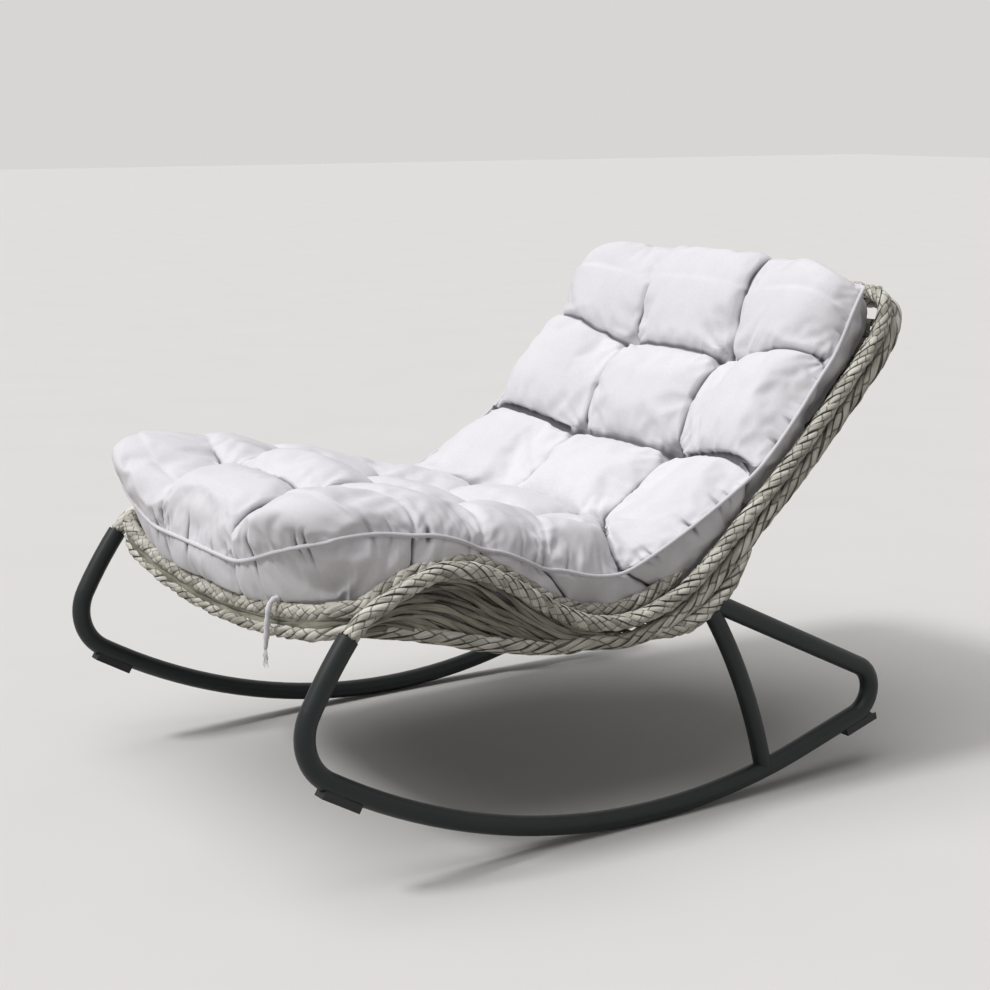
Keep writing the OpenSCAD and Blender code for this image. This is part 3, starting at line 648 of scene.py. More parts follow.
def cross_strands(name, first, last, pitch, seed):
    count = int((last - first) / pitch)
    parts = []
    for i in range(count + 1):
        s = first + i * (last - first) / count
        _, reach = bed_at(0.0, s, 0.0)
        x = np.linspace(-reach, reach, CROSS_POINTS)
        lift = BED_LIFT + WAVE * np.cos(math.pi * x / RUNNER_STEP + math.pi * i)
        line, _ = bed_at(x, s, lift)
        parts.append(strip_parts(line, facing_at(x, s), *CROSS_STRIP, seed + i))
    return join_parts(name, parts), count + 1


def runners(name, first, last, cross_first, cross_pitch, seed):
    s = np.linspace(first, last, int((last - first) / RUNNER_POINT_STEP))
    parts = []
    for k in range(-RUNNERS_A_SIDE, RUNNERS_A_SIDE + 1):
        x = k * RUNNER_STEP
        lift = BED_LIFT - WAVE * np.cos(math.pi * (s - cross_first) / cross_pitch + math.pi * k)
        line, _ = bed_at(x, s, lift)
        parts.append(strip_parts(line, facing_at(x, s), *RUNNER_STRIP, seed + k))
    return join_parts(name, parts)


# %% The woven bed
SEAT_PITCH, BACK_PITCH, BACK_START = 22.0, 20.0, CREASE_RUN + 20
seat_cross, seat_count = cross_strands("seat_weave_strands", WEAVE_START, CREASE_RUN, SEAT_PITCH, 100)
back_cross, back_count = cross_strands("back_weave_strands", BACK_START, WEAVE_END, BACK_PITCH, 200)
seat_pitch = (CREASE_RUN - WEAVE_START) / (seat_count - 1)
back_pitch = (WEAVE_END - BACK_START) / (back_count - 1)
meet = CREASE_RUN + PAST_CREASE
seat_long = runners("seat_runner_strands", WEAVE_START - RUNNER_OVER, meet, WEAVE_START, seat_pitch, 300)
back_long = runners("back_runner_strands", meet, WEAVE_END + RUNNER_OVER, BACK_START, back_pitch, 400)
for piece, node in ((seat_cross, "seat_weave"), (back_cross, "back_weave"), (seat_long, "seat_runners"),
                    (back_long, "back_runners")):
    dress(piece, shaded_rush, node)
print(seat_count, "and", back_count, "cross strands")

# %% [markdown]
# The side under each arm is closed by loose flat strands. Each leaves the hoop rope near the front and runs
# down to the rear until it meets the lower rope, and light shows through between some of them. Where the
# strut and the rear brace come up to the lower rope, a short bundle of leaves lies over the tubes' ends.
# At the front a few strands run crosswise and fill the gap between the two ropes of the rail.

# %% Side panels
SIDE_STEP, SIDE_FALL = 21.0, 300.0
SIDE_FIRST, SIDE_LAST = -800.0, -230.0
SIDE_SPAN = (-534.0, -112.0)
SIDE_POINT_STEP, LEAST_POINTS, SIDE_INSET = 7.0, 8, 5
SIDE_WOBBLE = 0.25
hoop_side = smooth(np.array(hoop_half[:EDGE_END + 1]) + [0, SHIFT, 0], 8)
low_side = smooth(np.array(lower_half[2:18]) + [0, SHIFT, 0], 8)


def side_panel(name, side, seed):
    rng = np.random.default_rng(seed)
    parts = []
    for k, start in enumerate(np.arange(SIDE_FIRST, SIDE_LAST, SIDE_STEP)):
        y = np.arange(max(start, SIDE_SPAN[0]), min(start + SIDE_FALL, SIDE_SPAN[1]), SIDE_POINT_STEP)
        if len(y) < LEAST_POINTS:
            continue
        share = 1 - (y - start) / SIDE_FALL + 0.03 * wander(rng, y, 80, 260)
        y = y + SHIFT
        high = np.interp(y, hoop_side[:, 1], hoop_side[:, 2]) - SIDE_INSET
        low = np.interp(y, low_side[:, 1], low_side[:, 2]) + SIDE_INSET
        z = low + np.clip(share, 0.0, 1.0) * np.maximum(high - low, 0)
        x = np.interp(y, hoop_side[:, 1], hoop_side[:, 0]) + 2.5 * math.sin(k * 2.4) - 1
        x = x + 1.5 * wander(rng, y, 60, 200)
        facing = np.tile([side * 1.0, 0.0, 0.25 * math.sin(k * 1.7)], (len(y), 1))
        line = np.stack([side * x, y, z], -1)
        parts.append(strip_parts(line, facing, rng.uniform(6.0, 10.0), SIDE_THICK, seed + k, SIDE_WOBBLE))
    return join_parts(name, parts)


dress(side_panel("side_strands_left", 1, 500), shaded_rush, "side_panel_left")
dress(side_panel("side_strands_right", -1, 540), shaded_rush, "side_panel_right")

# %% Bundles over the tubes' ends
BUNDLE_PLACES = [[2, -50, 294], [2, 10, 294], [1, 60, 306], [1, 98, 327], [2, 128, 357], [5, 166, 402]]
BUNDLE_R = 14.5
for name, side, seed in (("joint_bundle_left", 1, 31), ("joint_bundle_right", -1, 32)):
    route = [[side * (HALF_TRACK - x), y, z] for x, y, z in BUNDLE_PLACES]
    dress(plaited_rope(name, rope_line(route), side, seed, taper=80.0, radius=BUNDLE_R), rush)

# %% Strands of the front band
BAND_STRANDS, BAND_POINTS, BAND_SINK = 5, 90, 7.0


def front_band(seed):
    """Flat strands along the front rail, which close the gap between its two ropes."""
    rng = np.random.default_rng(seed)
    t = np.linspace(0.04, 0.96, BAND_POINTS)
    rails = []
    for half in (lower_half[:6], edge_half[:6]):
        a = smooth([flip(p) for p in half[:0:-1]] + half, 12)
        rails.append(np.stack([np.interp(t, np.linspace(0, 1, len(a)), a[:, j]) for j in range(3)], -1))
    low, high = rails
    parts = []
    for k in range(BAND_STRANDS):
        share = 0.25 + 0.5 * k / (BAND_STRANDS - 1) + 0.06 * wander(rng, t, 0.3, 0.9)
        line = low * (1 - share[:, None]) + high * share[:, None] + [0, SHIFT, 0]
        line[:, 1] -= ROPE_D / 2 - BAND_SINK + 1.2 * math.sin(k * 2.1)
        outward = 0.35 * line[:, 0] / HALF_TRACK
        facing = unit(np.stack([outward, np.full(BAND_POINTS, -1.0), np.zeros(BAND_POINTS)], -1))
        parts.append(strip_parts(line, facing, *BAND_STRIP, seed + k, SIDE_WOBBLE))
    return join_parts("front_band_strands", parts)


dress(front_band(560), shaded_rush)

# %% [markdown]
# The cushion is one long pad: seven rows and three columns of stuffed cells, drawn down at twelve sewn
# tufts. It's a grid of points over the two directions of the pad, u across and v from front to top. The
# seams follow two lines drawn in the side view, one through the tufts and one along the piping, and
# the stuffing rises between them. Crowns are the cells' heights row by row, in millimetres. Channels are the
# shares of them that stay on the seams between rows, and column shares those on the seams between columns.

# %% Cushion: its numbers
TUFT_LINE = [[-584, 429], [-458, 508], [-300, 452], [-120, 408], [60, 402], [222, 500], [329, 654],
             [452, 797]]
PIPING_LINE = [[-540, 490], [-420, 488], [-312, 454], [-205, 411], [-60, 387], [193, 514], [346, 671],
               [424, 783]]
WIDTH_SHARES = [0.92, 0.99, 1, 1, 1, 1, 0.98, 0.95]
MIDDLE_CROWNS = np.array([48, 46, 46, 46, 42, 48, 54.0])
SIDE_CROWNS = np.array([70, 42, 62, 69, 32, 52, 58.0])
COLUMN_SHARES = np.array([0.78, 0.55, 0.42, 0.42, 0.42, 0.5, 0.85])
MIDDLE_CHANNELS = np.array([0, 0.42, 0.38, 0.38, 0.34, 0.34, 0.36, 0])
SIDE_CHANNELS = np.array([0, 0.76, 0.87, 0.95, 0.85, 0.45, 0.7, 0])
PIPING_SHARE = 0.12
CORNER_POWER = 5
MIDDLE_LEAN, CORNER_LEAN, TOP_LEAN = 0.3, -0.8, 0.8
FRONT_RUN, LEAN_RUN = 1.0, 0.7
END_SKEW = 1.8
SIDE_SKEW, SIDE_FADE, SIDE_LEAN = 1.75, 0.35, 0.3
CORNER_ROUND, CORNER_FROM, CORNER_RUN = 0.4, 1.2, 0.7
CELL_POWER = 2.5
END_PEAK = 0.5 ** (1 / END_SKEW)
BASE_RUNS = [26, 104, 240, 424, 602, 792, 964, 1166]
ROWS = 7
TUFT_U = 0.354
CUSHION_HALF = HALF_TRACK - 25.0
WALL_X = HALF_TRACK - ROPE_PITCH - ROPE_D / 2 - 10.1
OUT_OF_REACH = 1e3
BASE_CLEAR = 2 * STRAND_D + LAY_GAP - 1.7
LIP_PLACE, LIP_RISE, LIP_RUN = (-532, 368), 34, 0.15


# %% Cushion: lines of the seams
def along(values, v):
    """Catmull-Rom value at v along a list of numbers or places."""
    a = np.asarray(values, float)
    a = a[:, None] if a.ndim == 1 else a
    n = len(a) - 1
    i = np.minimum(np.floor(v).astype(int), n - 1)
    t = (v - i)[..., None]
    out = catmull(a[np.maximum(i - 1, 0)], a[i], a[i + 1], a[np.minimum(i + 2, n)], t)
    return out[..., 0] if out.shape[-1] == 1 else out


def ease(t):
    return t * t * (3 - 2 * t)


def gauss(x):
    return np.exp(-x**2)


def side_share(u):
    """0 up to the outer tufts, and from there to 1 at the piping."""
    return np.maximum(np.abs(u) - TUFT_U, 0) / (1 - TUFT_U)


def seam_place(u, v):
    s, near = side_share(u), np.minimum(v, 1)
    rise = s * (1 - (1 - s) ** 3)
    share = np.stack([near * ease(s) + (1 - near) * s**CORNER_POWER, near * ease(s) + (1 - near) * rise], -1)
    return along(TUFT_LINE, v) * (1 - share) + along(PIPING_LINE, v) * share


# %% Cushion: crowns of the cells
def cell_top(t, skew):
    return 1 - np.abs(2 * np.clip(t, 0, 1) ** skew - 1) ** CELL_POWER


def cell_across(u):
    inner = cell_top((u / TUFT_U + 1) / 2, 1.0)
    outer = cell_top(side_share(u), SIDE_SKEW)
    return np.where(np.abs(u) <= TUFT_U, inner, outer)


def row_of(v):
    return np.minimum(np.floor(v).astype(int), ROWS - 1)


def cell_along(v):
    i = row_of(v)
    t = v - i
    return np.where(i == 0, cell_top(1 - t, END_SKEW), cell_top(t, np.where(i == ROWS - 1, END_SKEW, 1.0)))


def crown_at(u, v):
    """How high the stuffing stands over the seams; the side cells' numbers fade in past the tufts."""
    i, channel = row_of(v), np.round(v).astype(int)
    f, g, s = cell_across(u), cell_along(v), side_share(u)
    k = ease(np.clip(s / SIDE_FADE, 0, 1))
    high = MIDDLE_CROWNS * (1 - k[..., None]) + SIDE_CROWNS * k[..., None]
    pick = lambda row: np.take_along_axis(high, np.clip(row, 0, ROWS - 1)[..., None], -1)[..., 0]
    column = COLUMN_SHARES[i] * (1 - s) + PIPING_SHARE * s
    edge = (v < 1 - END_PEAK) | (v > ROWS - 1 + END_PEAK)
    row = np.where(edge, 0, MIDDLE_CHANNELS[channel] * (1 - k) + SIDE_CHANNELS[channel] * k)
    across_channel = (pick(channel - 1) + pick(channel)) / 2
    past_end = np.where(v < 1, 1 - v, np.maximum(v - ROWS + 1, 0))
    corner = 1 - CORNER_ROUND * ease(np.clip((s + past_end - CORNER_FROM) / CORNER_RUN, 0, 1))
    return corner * (pick(i) * g * (f + column * (1 - f)) + across_channel * row * (1 - g) * f)


# %% Cushion: top and underside
def seam_normal(u, v):
    """Direction away from the bed; it leans forwards at the front and back at the top edge."""
    d = unit(seam_place(u, np.minimum(v + 0.05, ROWS)) - seam_place(u, np.maximum(v - 0.05, 0)))
    s = side_share(u)
    front = (MIDDLE_LEAN * (1 - s) + CORNER_LEAN * s) * ease(np.clip(1 - v / FRONT_RUN, 0, 1))
    k = front + np.maximum(TOP_LEAN * (v - ROWS + LEAN_RUN) / LEAN_RUN, 0)
    return unit(np.stack([SIDE_LEAN * u**5, -d[..., 1] + k * d[..., 0], d[..., 0] + k * d[..., 1]], -1))


def half_width(v):
    return CUSHION_HALF * along(WIDTH_SHARES, v)


def top_point(u, v):
    u, v = np.broadcast_arrays(u, v)
    p = seam_place(u, v)
    flat = np.stack([u * half_width(v), p[..., 0], p[..., 1]], -1)
    return flat + crown_at(u, v)[..., None] * seam_normal(u, v)


def base_point(u, v):
    u, v = np.broadcast_arrays(u, v)
    x = WALL_X / CUSHION_HALF * u * half_width(v)
    bed = bed_at(x, along(BASE_RUNS, v), BASE_CLEAR)[0] - [0, SHIFT, 0]
    rise = LIP_RISE * u**4
    front = np.stack([x, LIP_PLACE[0] + rise, LIP_PLACE[1] + rise], -1)
    k = np.clip(1 - v / LIP_RUN, 0, 1)[..., None]
    return bed * (1 - k) + front * k


# %% Cushion: the front wall
# Steps back and down from the piping: each pair has the middle's step, and what the corner adds to it.
WALL_STEPS = [[(3, -26), (16, -1)], [(15, -53), (26, -8)], [(29, -60), (14, -25)]]
WALL_SHARES = (0.99, 0.985, 0.975)


def front_wall(u, w):
    """The front wall from the piping, w = 0, to the underside, w = 1: it curls in over the ropes."""
    s = side_share(u)[:, None]
    piping_place = top_point(u, np.zeros_like(u))
    rows = [piping_place]
    for share, (middle, corner) in zip(WALL_SHARES, WALL_STEPS):
        step = np.array(middle) + np.array(corner) * s
        rows.append(np.concatenate([piping_place[:, :1] * share, piping_place[:, 1:] + step], 1))
    rows = np.stack(rows + [base_point(u, np.zeros_like(u))])
    spans = len(rows) - 1
    i = np.minimum((w * spans).astype(int), spans - 1)
    four = [rows[np.clip(i + k, 0, spans), np.arange(len(u))] for k in (-1, 0, 1, 2)]
    return catmull(*four, (w * spans - i)[:, None])


# %% [markdown]
# The grid is even in real length and has a line on every seam. The pad's top is one sheet of the grid, a
# padded border goes down from the piping to the edge of the underside, and the underside is a coarser grid.

# %% Cushion: the grid
CELL, WALL_ROWS = 8.0, 12
MEASURED_U, MEASURED_V = 0.7, 3.5


def even_stations(curve, knots, size):
    """Stations between knots, spaced evenly along a curve that takes the station as its argument."""
    out = [knots[0]]
    for a, b in zip(knots[:-1], knots[1:]):
        dense = np.linspace(a, b, 400)
        runs = runs_of(curve(dense))
        n = max(4, 4 * round(runs[-1] / size / 4))
        out += list(np.interp(np.linspace(0, runs[-1], n + 1)[1:], runs, dense))
    return np.array(out)


us = even_stations(lambda u: top_point(u, np.full_like(u, MEASURED_V)), [-1, -TUFT_U, TUFT_U, 1], CELL)
vs = even_stations(lambda v: top_point(np.full_like(v, MEASURED_U), v), list(range(ROWS + 1)), CELL)
NU, NV = len(us), len(vs)
U, V = np.meshgrid(us, vs)
top = top_point(U, V)
print("cushion grid", NU, "by", NV)

# %% [markdown]
# The border runs once round the pad: front from left to right, right side, top edge, left side. It swells
# outwards between its two edges, and it is quilted too: it's drawn in where a channel of the top meets the
# piping. Its corners are rounded by averaging neighbours.

# %% Cushion: the border
SIDE_BULGE, TOP_BULGE, DRAWN_IN, DRAWN_RUN = 7.0, 16.0, 0.25, 40
BULGE_REACH, CORNER_REACH, CORNER_GAIN, CORNER_SOFT = 6, 9, 40, 5
BORDER_ROW, BULGE_POWER, OUT_SOFT = 180, 0.8, 3
ring_index = ([(0, i) for i in range(NU)] + [(j, NU - 1) for j in range(1, NV)]
              + [(NV - 1, i) for i in range(NU - 2, -1, -1)] + [(j, 0) for j in range(NV - 2, 0, -1)])
ring_v, ring_u = np.array([j for j, i in ring_index]), np.array([i for j, i in ring_index])
RING = len(ring_index)
seam_ring = top[ring_v, ring_u]
base_ring = base_point(us[ring_u], vs[ring_v])


def round_ring(a, reach):
    """Averages a closed ring over a few neighbours."""
    return sum(np.roll(a, k, 0) for k in range(-reach, reach + 1)) / (2 * reach + 1)


def outward_of(edge_line, down):
    """Directions out of the pad, square to its edge line and to the way down."""
    forward = np.roll(edge_line, -1, 0) - np.roll(edge_line, 1, 0)
    out = np.cross(forward, down)
    out = unit(round_ring(unit(out), OUT_SOFT))
    centre = edge_line.mean(0)
    return out if ((edge_line - centre) * out).sum() > 0 else -out


ring_out = outward_of(seam_ring, base_ring - seam_ring)
side_part = np.abs(us[ring_u]) > 0.999
front_part = ring_v == 0
bulge = np.where(side_part, SIDE_BULGE, np.where(front_part, 0.0, TOP_BULGE))
bulge = round_ring(bulge[:, None], BULGE_REACH)[:, 0]
corner_part = side_part & np.roll(front_part, 1) | side_part & np.roll(front_part, -1)
corner_part = np.clip(round_ring(corner_part[:, None] * 1.0, CORNER_REACH) * CORNER_GAIN, 0, 1)
near_row = np.abs(vs[ring_v] - np.round(vs[ring_v])) * BORDER_ROW
near_column = np.abs(np.abs(us[ring_u]) - TUFT_U) * CUSHION_HALF
from_channel = np.where(side_part, near_row, near_column)
bulge = bulge * (DRAWN_IN + (1 - DRAWN_IN) * ease(np.clip(from_channel / DRAWN_RUN, 0, 1)))
wall = []
for k in range(1, WALL_ROWS):
    w = k / WALL_ROWS
    swell = bulge * math.sin(math.pi * w) ** BULGE_POWER
    ring = seam_ring * (1 - w) + base_ring * w + swell[:, None] * ring_out
    ring[front_part] = front_wall(us[ring_u[front_part]], np.full(int(front_part.sum()), w))
    wall.append(ring * (1 - corner_part) + round_ring(ring, CORNER_SOFT) * corner_part)

# %% Cushion: faces
points = [top.reshape(-1, 3)] + wall + [base_ring]
count = NU * NV
ring_ids = [np.array([j * NU + i for j, i in ring_index])]
for k in range(WALL_ROWS):
    ring_ids.append(count + np.arange(RING))
    count += RING
faces = [(j * NU + i, j * NU + i + 1, (j + 1) * NU + i + 1, (j + 1) * NU + i)
         for j in range(NV - 1) for i in range(NU - 1)]
for upper, under in zip(ring_ids[:-1], ring_ids[1:]):
    faces += [(upper[k], under[k], under[(k + 1) % RING], upper[(k + 1) % RING]) for k in range(RING)]

# %% [markdown]
# The underside takes every fourth line of the grid, and its rim cells take in the border's fine points, so
# the mesh stays closed.

# %% Cushion: the underside
STEP = 4
coarse_u, coarse_v = us[::STEP], vs[::STEP]
bu, bv = len(coarse_u), len(coarse_v)
under = base_point(*np.meshgrid(coarse_u, coarse_v))
rim_id = {pair: ring_ids[-1][k] for k, pair in enumerate(ring_index)}
grid_id = np.zeros((bv, bu), int)
for j in range(bv):
    for i in range(bu):
        if j in (0, bv - 1) or i in (0, bu - 1):
            grid_id[j, i] = rim_id[(j * STEP, i * STEP)]
        else:
            grid_id[j, i] = count
            points.append(under[j, i][None])
            count += 1


def side_of_cell(a, b):
    """A coarse cell's corner a, and the fine points from it to b where the side lies on the rim."""
    (ja, ia), (jb, ib) = a, b
    if not ((ja == jb and ja in (0, bv - 1)) or (ia == ib and ia in (0, bu - 1))):
        return [grid_id[a]]
    fine = [rim_id[(ja * STEP + (jb - ja) * k, ia * STEP + (ib - ia) * k)] for k in range(1, STEP)]
    return [grid_id[a]] + fine


for j in range(bv - 1):
    for i in range(bu - 1):
        corners = [(j, i), (j + 1, i), (j + 1, i + 1), (j, i + 1)]
        sides = zip(corners, corners[1:] + corners[:1])
        faces.append(tuple(k for a, b in sides for k in side_of_cell(a, b)))

# %% Cushion: the mesh, with its own places on the pad
cushion_points = np.concatenate(points) + [0, SHIFT, 0]
wall_height = np.linalg.norm(base_ring - seam_ring, axis=1)
inner = (bv - 2) * (bu - 2)
place_u = np.concatenate([U.ravel(), np.tile(us[ring_u], WALL_ROWS), np.zeros(inner)])
place_v = np.concatenate([V.ravel(), np.tile(vs[ring_v], WALL_ROWS), np.zeros(inner)])
below = np.concatenate([np.zeros(NU * NV)] + [wall_height * k / WALL_ROWS for k in range(1, WALL_ROWS + 1)]
                       + [np.full(inner, OUT_OF_REACH)])
cushion = make_mesh("cushion_cover", cushion_points, faces)
for key, values in (("pad_u", place_u), ("pad_v", place_v), ("pad_below", below)):
    cushion.data.attributes.new(key, "FLOAT", "POINT").data.foreach_set("value", values.astype(np.float32))
print("cushion", len(cushion_points), "points,", len(faces), "faces")

# %% [markdown]
# The stuffing is pressed out against the cover by a cloth simulation: air pressure from inside, no gravity,
# and the piping, the tufts and the underside held still. The cover is a little larger than the space, as a
# real sewn cover is, so it wrinkles by itself between the stitches. A cap keeps every point near its start.

# %% Cushion: the simulation's numbers
SWELL_CAP, ROW_RUN, FRAMES = 9.0, 182.0, 16
TUFT_HELD, SEAM_HELD, SEAM_GRIP, LEAST_GRIP = 14, 5, 0.6, 0.02
CLOTH = {"quality": 4, "mass": 0.3, "tension_stiffness": 14, "compression_stiffness": 14,
         "shear_stiffness": 4, "bending_stiffness": 0.08, "tension_damping": 12, "compression_damping": 12,
         "shear_damping": 8, "use_pressure": True, "uniform_pressure_force": 1.6,
         "vertex_group_mass": "sewn", "pin_stiffness": 3.0, "shrink_min": -0.05}

# %% Cushion: what the stitches hold
held = np.zeros(len(cushion_points), np.float32)
held[np.concatenate(ring_ids[:1] + [np.arange(ring_ids[-1][0], len(cushion_points))])] = 1.0
on_channel = (V > 0.5) & (V < ROWS - 0.5)
from_row = np.where(on_channel, np.abs(V - np.round(V)) * ROW_RUN, OUT_OF_REACH)
from_column = np.abs(np.abs(U) - TUFT_U) * CUSHION_HALF
tuft_hold = gauss(np.hypot(from_row, from_column) / TUFT_HELD)
seam_hold = SEAM_GRIP * gauss(np.minimum(from_row, from_column) / SEAM_HELD)
held[:NU * NV] = np.maximum(held[:NU * NV], np.maximum(tuft_hold, seam_hold).ravel())


# %% Cushion: pressing it out
def press_out(piece, weights):
    """Runs the cloth simulation, and gives the places that it ends at, in millimetres."""
    group = piece.vertex_groups.new(name="sewn")
    for k in np.nonzero(weights > LEAST_GRIP)[0]:
        group.add([int(k)], float(weights[k]), "REPLACE")
    cloth = piece.modifiers.new("cloth", "CLOTH")
    for key, value in CLOTH.items():
        setattr(cloth.settings, key, value)
    cloth.settings.effector_weights.gravity = 0.0
    cloth.collision_settings.use_collision = False
    cloth.collision_settings.use_self_collision = False
    cloth.point_cache.frame_start = 1
    cloth.point_cache.frame_end = FRAMES
    for k in range(1, FRAMES + 1):
        bpy.context.scene.frame_set(k)
    found = piece.evaluated_get(bpy.context.evaluated_depsgraph_get())
    out = np.zeros(len(piece.data.vertices) * 3, np.float32)
    found.data.vertices.foreach_get("co", out)
    piece.modifiers.remove(cloth)
    bpy.context.scene.frame_set(1)
    return out.reshape(-1, 3) / MM


moved = press_out(cushion, held) - cushion_points
far = np.linalg.norm(moved, axis=1, keepdims=True)
cushion_points = cushion_points + moved * np.minimum(1, SWELL_CAP / np.maximum(far, 1e-9))
cushion.data.vertices.foreach_set("co", (cushion_points * MM).astype(np.float32).ravel())
cushion.data.update()
print("pressed out by up to", round(float(far.max()), 1), "mm, mean", round(float(far.mean()), 2))

# %% [markdown]
# Stitching gathers the cloth. Round every tuft, and where a channel meets the piping, crisp folds run
# outwards like rays. Along the piping small pleats stand across the seam on both sides of it. The seams
# are narrow slits, and they go on down the border. All this is pushed along the surface on a finer mesh.
# Far above any wall's height, the depth below the piping marks the underside, which has no folds.

# %% Cushion: folds at the stitches
TUFT_FOLD = {"count": 9, "reach": 58.0, "height": 5.6, "dip": 12.0, "dip_reach": 15.0}
END_FOLD = {"count": 9, "reach": 32.0, "height": 3.4, "dip": 4.0, "dip_reach": 10.0}
PLEAT_STEP, PLEAT_DEPTH, PLEAT_WIDTH, PLEAT_REACH = 36.0, 5.5, 3.6, 20.0
SLIT, SLIT_WIDTH, VALLEY, VALLEY_WIDTH = 8.0, 3.2, 5.0, 15.0
CREASE_ROW, CREASE_SLIT = 5, 14.0
ARM_CALM, ARM_FROM, ARM_RUN = 0.85, 0.15, 0.3
STITCH_R, FOLDS_END, FOLD_SEED, UNDERSIDE = 14, 25, 7, 0.9 * OUT_OF_REACH


# %% Cushion: a finer mesh
def refine(piece):
    """Splits every face into four and smooths them, with the pad's own places carried along."""
    finer = piece.modifiers.new("finer", "SUBSURF")
    finer.levels = 1
    found = piece.evaluated_get(bpy.context.evaluated_depsgraph_get())
    mesh = bpy.data.meshes.new_from_object(found)
    piece.modifiers.remove(finer)
    piece.data = mesh
    piece.vertex_groups.clear()
    return mesh


# %% Cushion: rays, slits and pleats
def rays(angle, count, rng):
    """Crisp ridges round a stitch, between -1 and 1."""
    bent = angle + 0.35 * np.sin(angle + rng.uniform(0, 6.3)) + 0.2 * np.sin(2 * angle + rng.uniform(0, 6.3))
    wave = np.abs((count * bent / (2 * math.pi) + rng.uniform()) % 1 * 2 - 1)
    return (2 * wave - 1) * (0.65 + 0.35 * np.sin(angle + rng.uniform(0, 6.3)))


def stitch_folds(u, v, stitch_u, stitch_v, fold, rng):
    du, dv = (u - stitch_u) * CUSHION_HALF, (v - stitch_v) * ROW_RUN
    dist = np.hypot(du, dv)
    fade = np.exp(-((dist / fold["reach"]) ** 1.6)) * np.clip(dist / STITCH_R, 0, 1)
    dip = fold["dip"] * gauss(dist / fold["dip_reach"])
    return fold["height"] * rays(np.arctan2(dv, du), fold["count"], rng) * fade - dip


def all_stitches(u, v, down, rng):
    push = np.zeros(len(u))
    for row in range(1, ROWS):
        for side in (-1, 1):
            push += stitch_folds(u, v, side * TUFT_U, row, TUFT_FOLD, rng)
            push += stitch_folds(u, v, side, row, END_FOLD, rng)
    for side in (-1, 1):
        for end in (0, ROWS):
            push += stitch_folds(u, v, side * TUFT_U, end, END_FOLD, rng)
    return push * np.clip(1 - down / FOLDS_END, 0, 1)


def slits(u, v, down):
    """The narrow seams and the wide valleys they lie in, and how deep in a seam each place is."""
    s, row = side_share(u), np.round(v)
    from_row = np.abs(v - row) * ROW_RUN + np.where((v < 0.5) | (v > ROWS - 0.5), OUT_OF_REACH, 0)
    from_column = np.abs(np.abs(u) - TUFT_U) * CUSHION_HALF
    calm = 1 - ARM_CALM * ease(np.clip((s - ARM_FROM) / ARM_RUN, 0, 1))
    on_arm = np.where(row < CREASE_ROW - 1, calm, 1.0)
    depth = np.where((row == CREASE_ROW) & (s > ARM_FROM), CREASE_SLIT, SLIT) * np.where(down > 1, 1, on_arm)
    row_slit, column_slit = gauss(from_row / SLIT_WIDTH), gauss(from_column / SLIT_WIDTH)
    push = -(depth * row_slit + SLIT * column_slit)
    push -= VALLEY * on_arm * gauss(from_row / VALLEY_WIDTH)
    push -= VALLEY * gauss(from_column / VALLEY_WIDTH)
    return push, np.maximum(row_slit * depth / SLIT, column_slit)


def from_piping(u, v):
    """How far each place is from the nearest piping, and where on the piping's round that is."""
    runs = runs_of(np.concatenate([seam_ring, seam_ring[:1]]))
    right, top_edge = runs[NU - 1:NU + NV - 1], runs[NU + NV - 2:2 * NU + NV - 2][::-1]
    left = runs[2 * NU + NV - 3:][::-1]
    edges = [((1 - u) * CUSHION_HALF, np.interp(v, vs, right)),
             ((1 + u) * CUSHION_HALF, np.interp(v, vs, left)),
             (v * ROW_RUN, np.interp(u, us, runs[:NU])),
             ((ROWS - v) * ROW_RUN, np.interp(u, us, top_edge))]
    dist, place = np.full(len(u), 1e9), np.zeros(len(u))
    for edge_dist, edge_place in edges:
        closer = edge_dist < dist
        dist, place = np.where(closer, edge_dist, dist), np.where(closer, edge_place, place)
    return dist, place, runs[-1]


def pleats_of(dist, place, around, rng):
    pleats, at = np.zeros(len(dist)), 0.0
    while at < around:
        width, reach = PLEAT_WIDTH * rng.uniform(0.6, 1.3), PLEAT_REACH * rng.uniform(0.5, 1.5)
        off = (place - at + 0.25 * rng.uniform(-1, 1) * dist) / width
        pulse = (1 - off**2 / 3) * np.exp(-off**2 / 2 - (dist / reach) ** 2)
        pleats -= PLEAT_DEPTH * rng.uniform(0.2, 1) * pulse
        at += PLEAT_STEP * rng.uniform(0.4, 1.7)
    return pleats


def folds_of(u, v, down):
    """How far the cover stands out at each place, in millimetres, and how deep in a seam it lies."""
    rng = np.random.default_rng(FOLD_SEED)
    push = all_stitches(u, v, down, rng)
    seam_push, crease_shade = slits(u, v, down)
    push += seam_push
    dist, place, around = from_piping(u, v)
    dist = dist + down
    near = dist < 3 * PLEAT_REACH
    pleats = pleats_of(dist[near], place[near], around, rng)
    push[near] += pleats
    crease_shade[near] = np.maximum(crease_shade[near], -pleats / PLEAT_DEPTH)
    on_top = down < UNDERSIDE
    return push * on_top, np.clip(crease_shade, 0, 1) * on_top


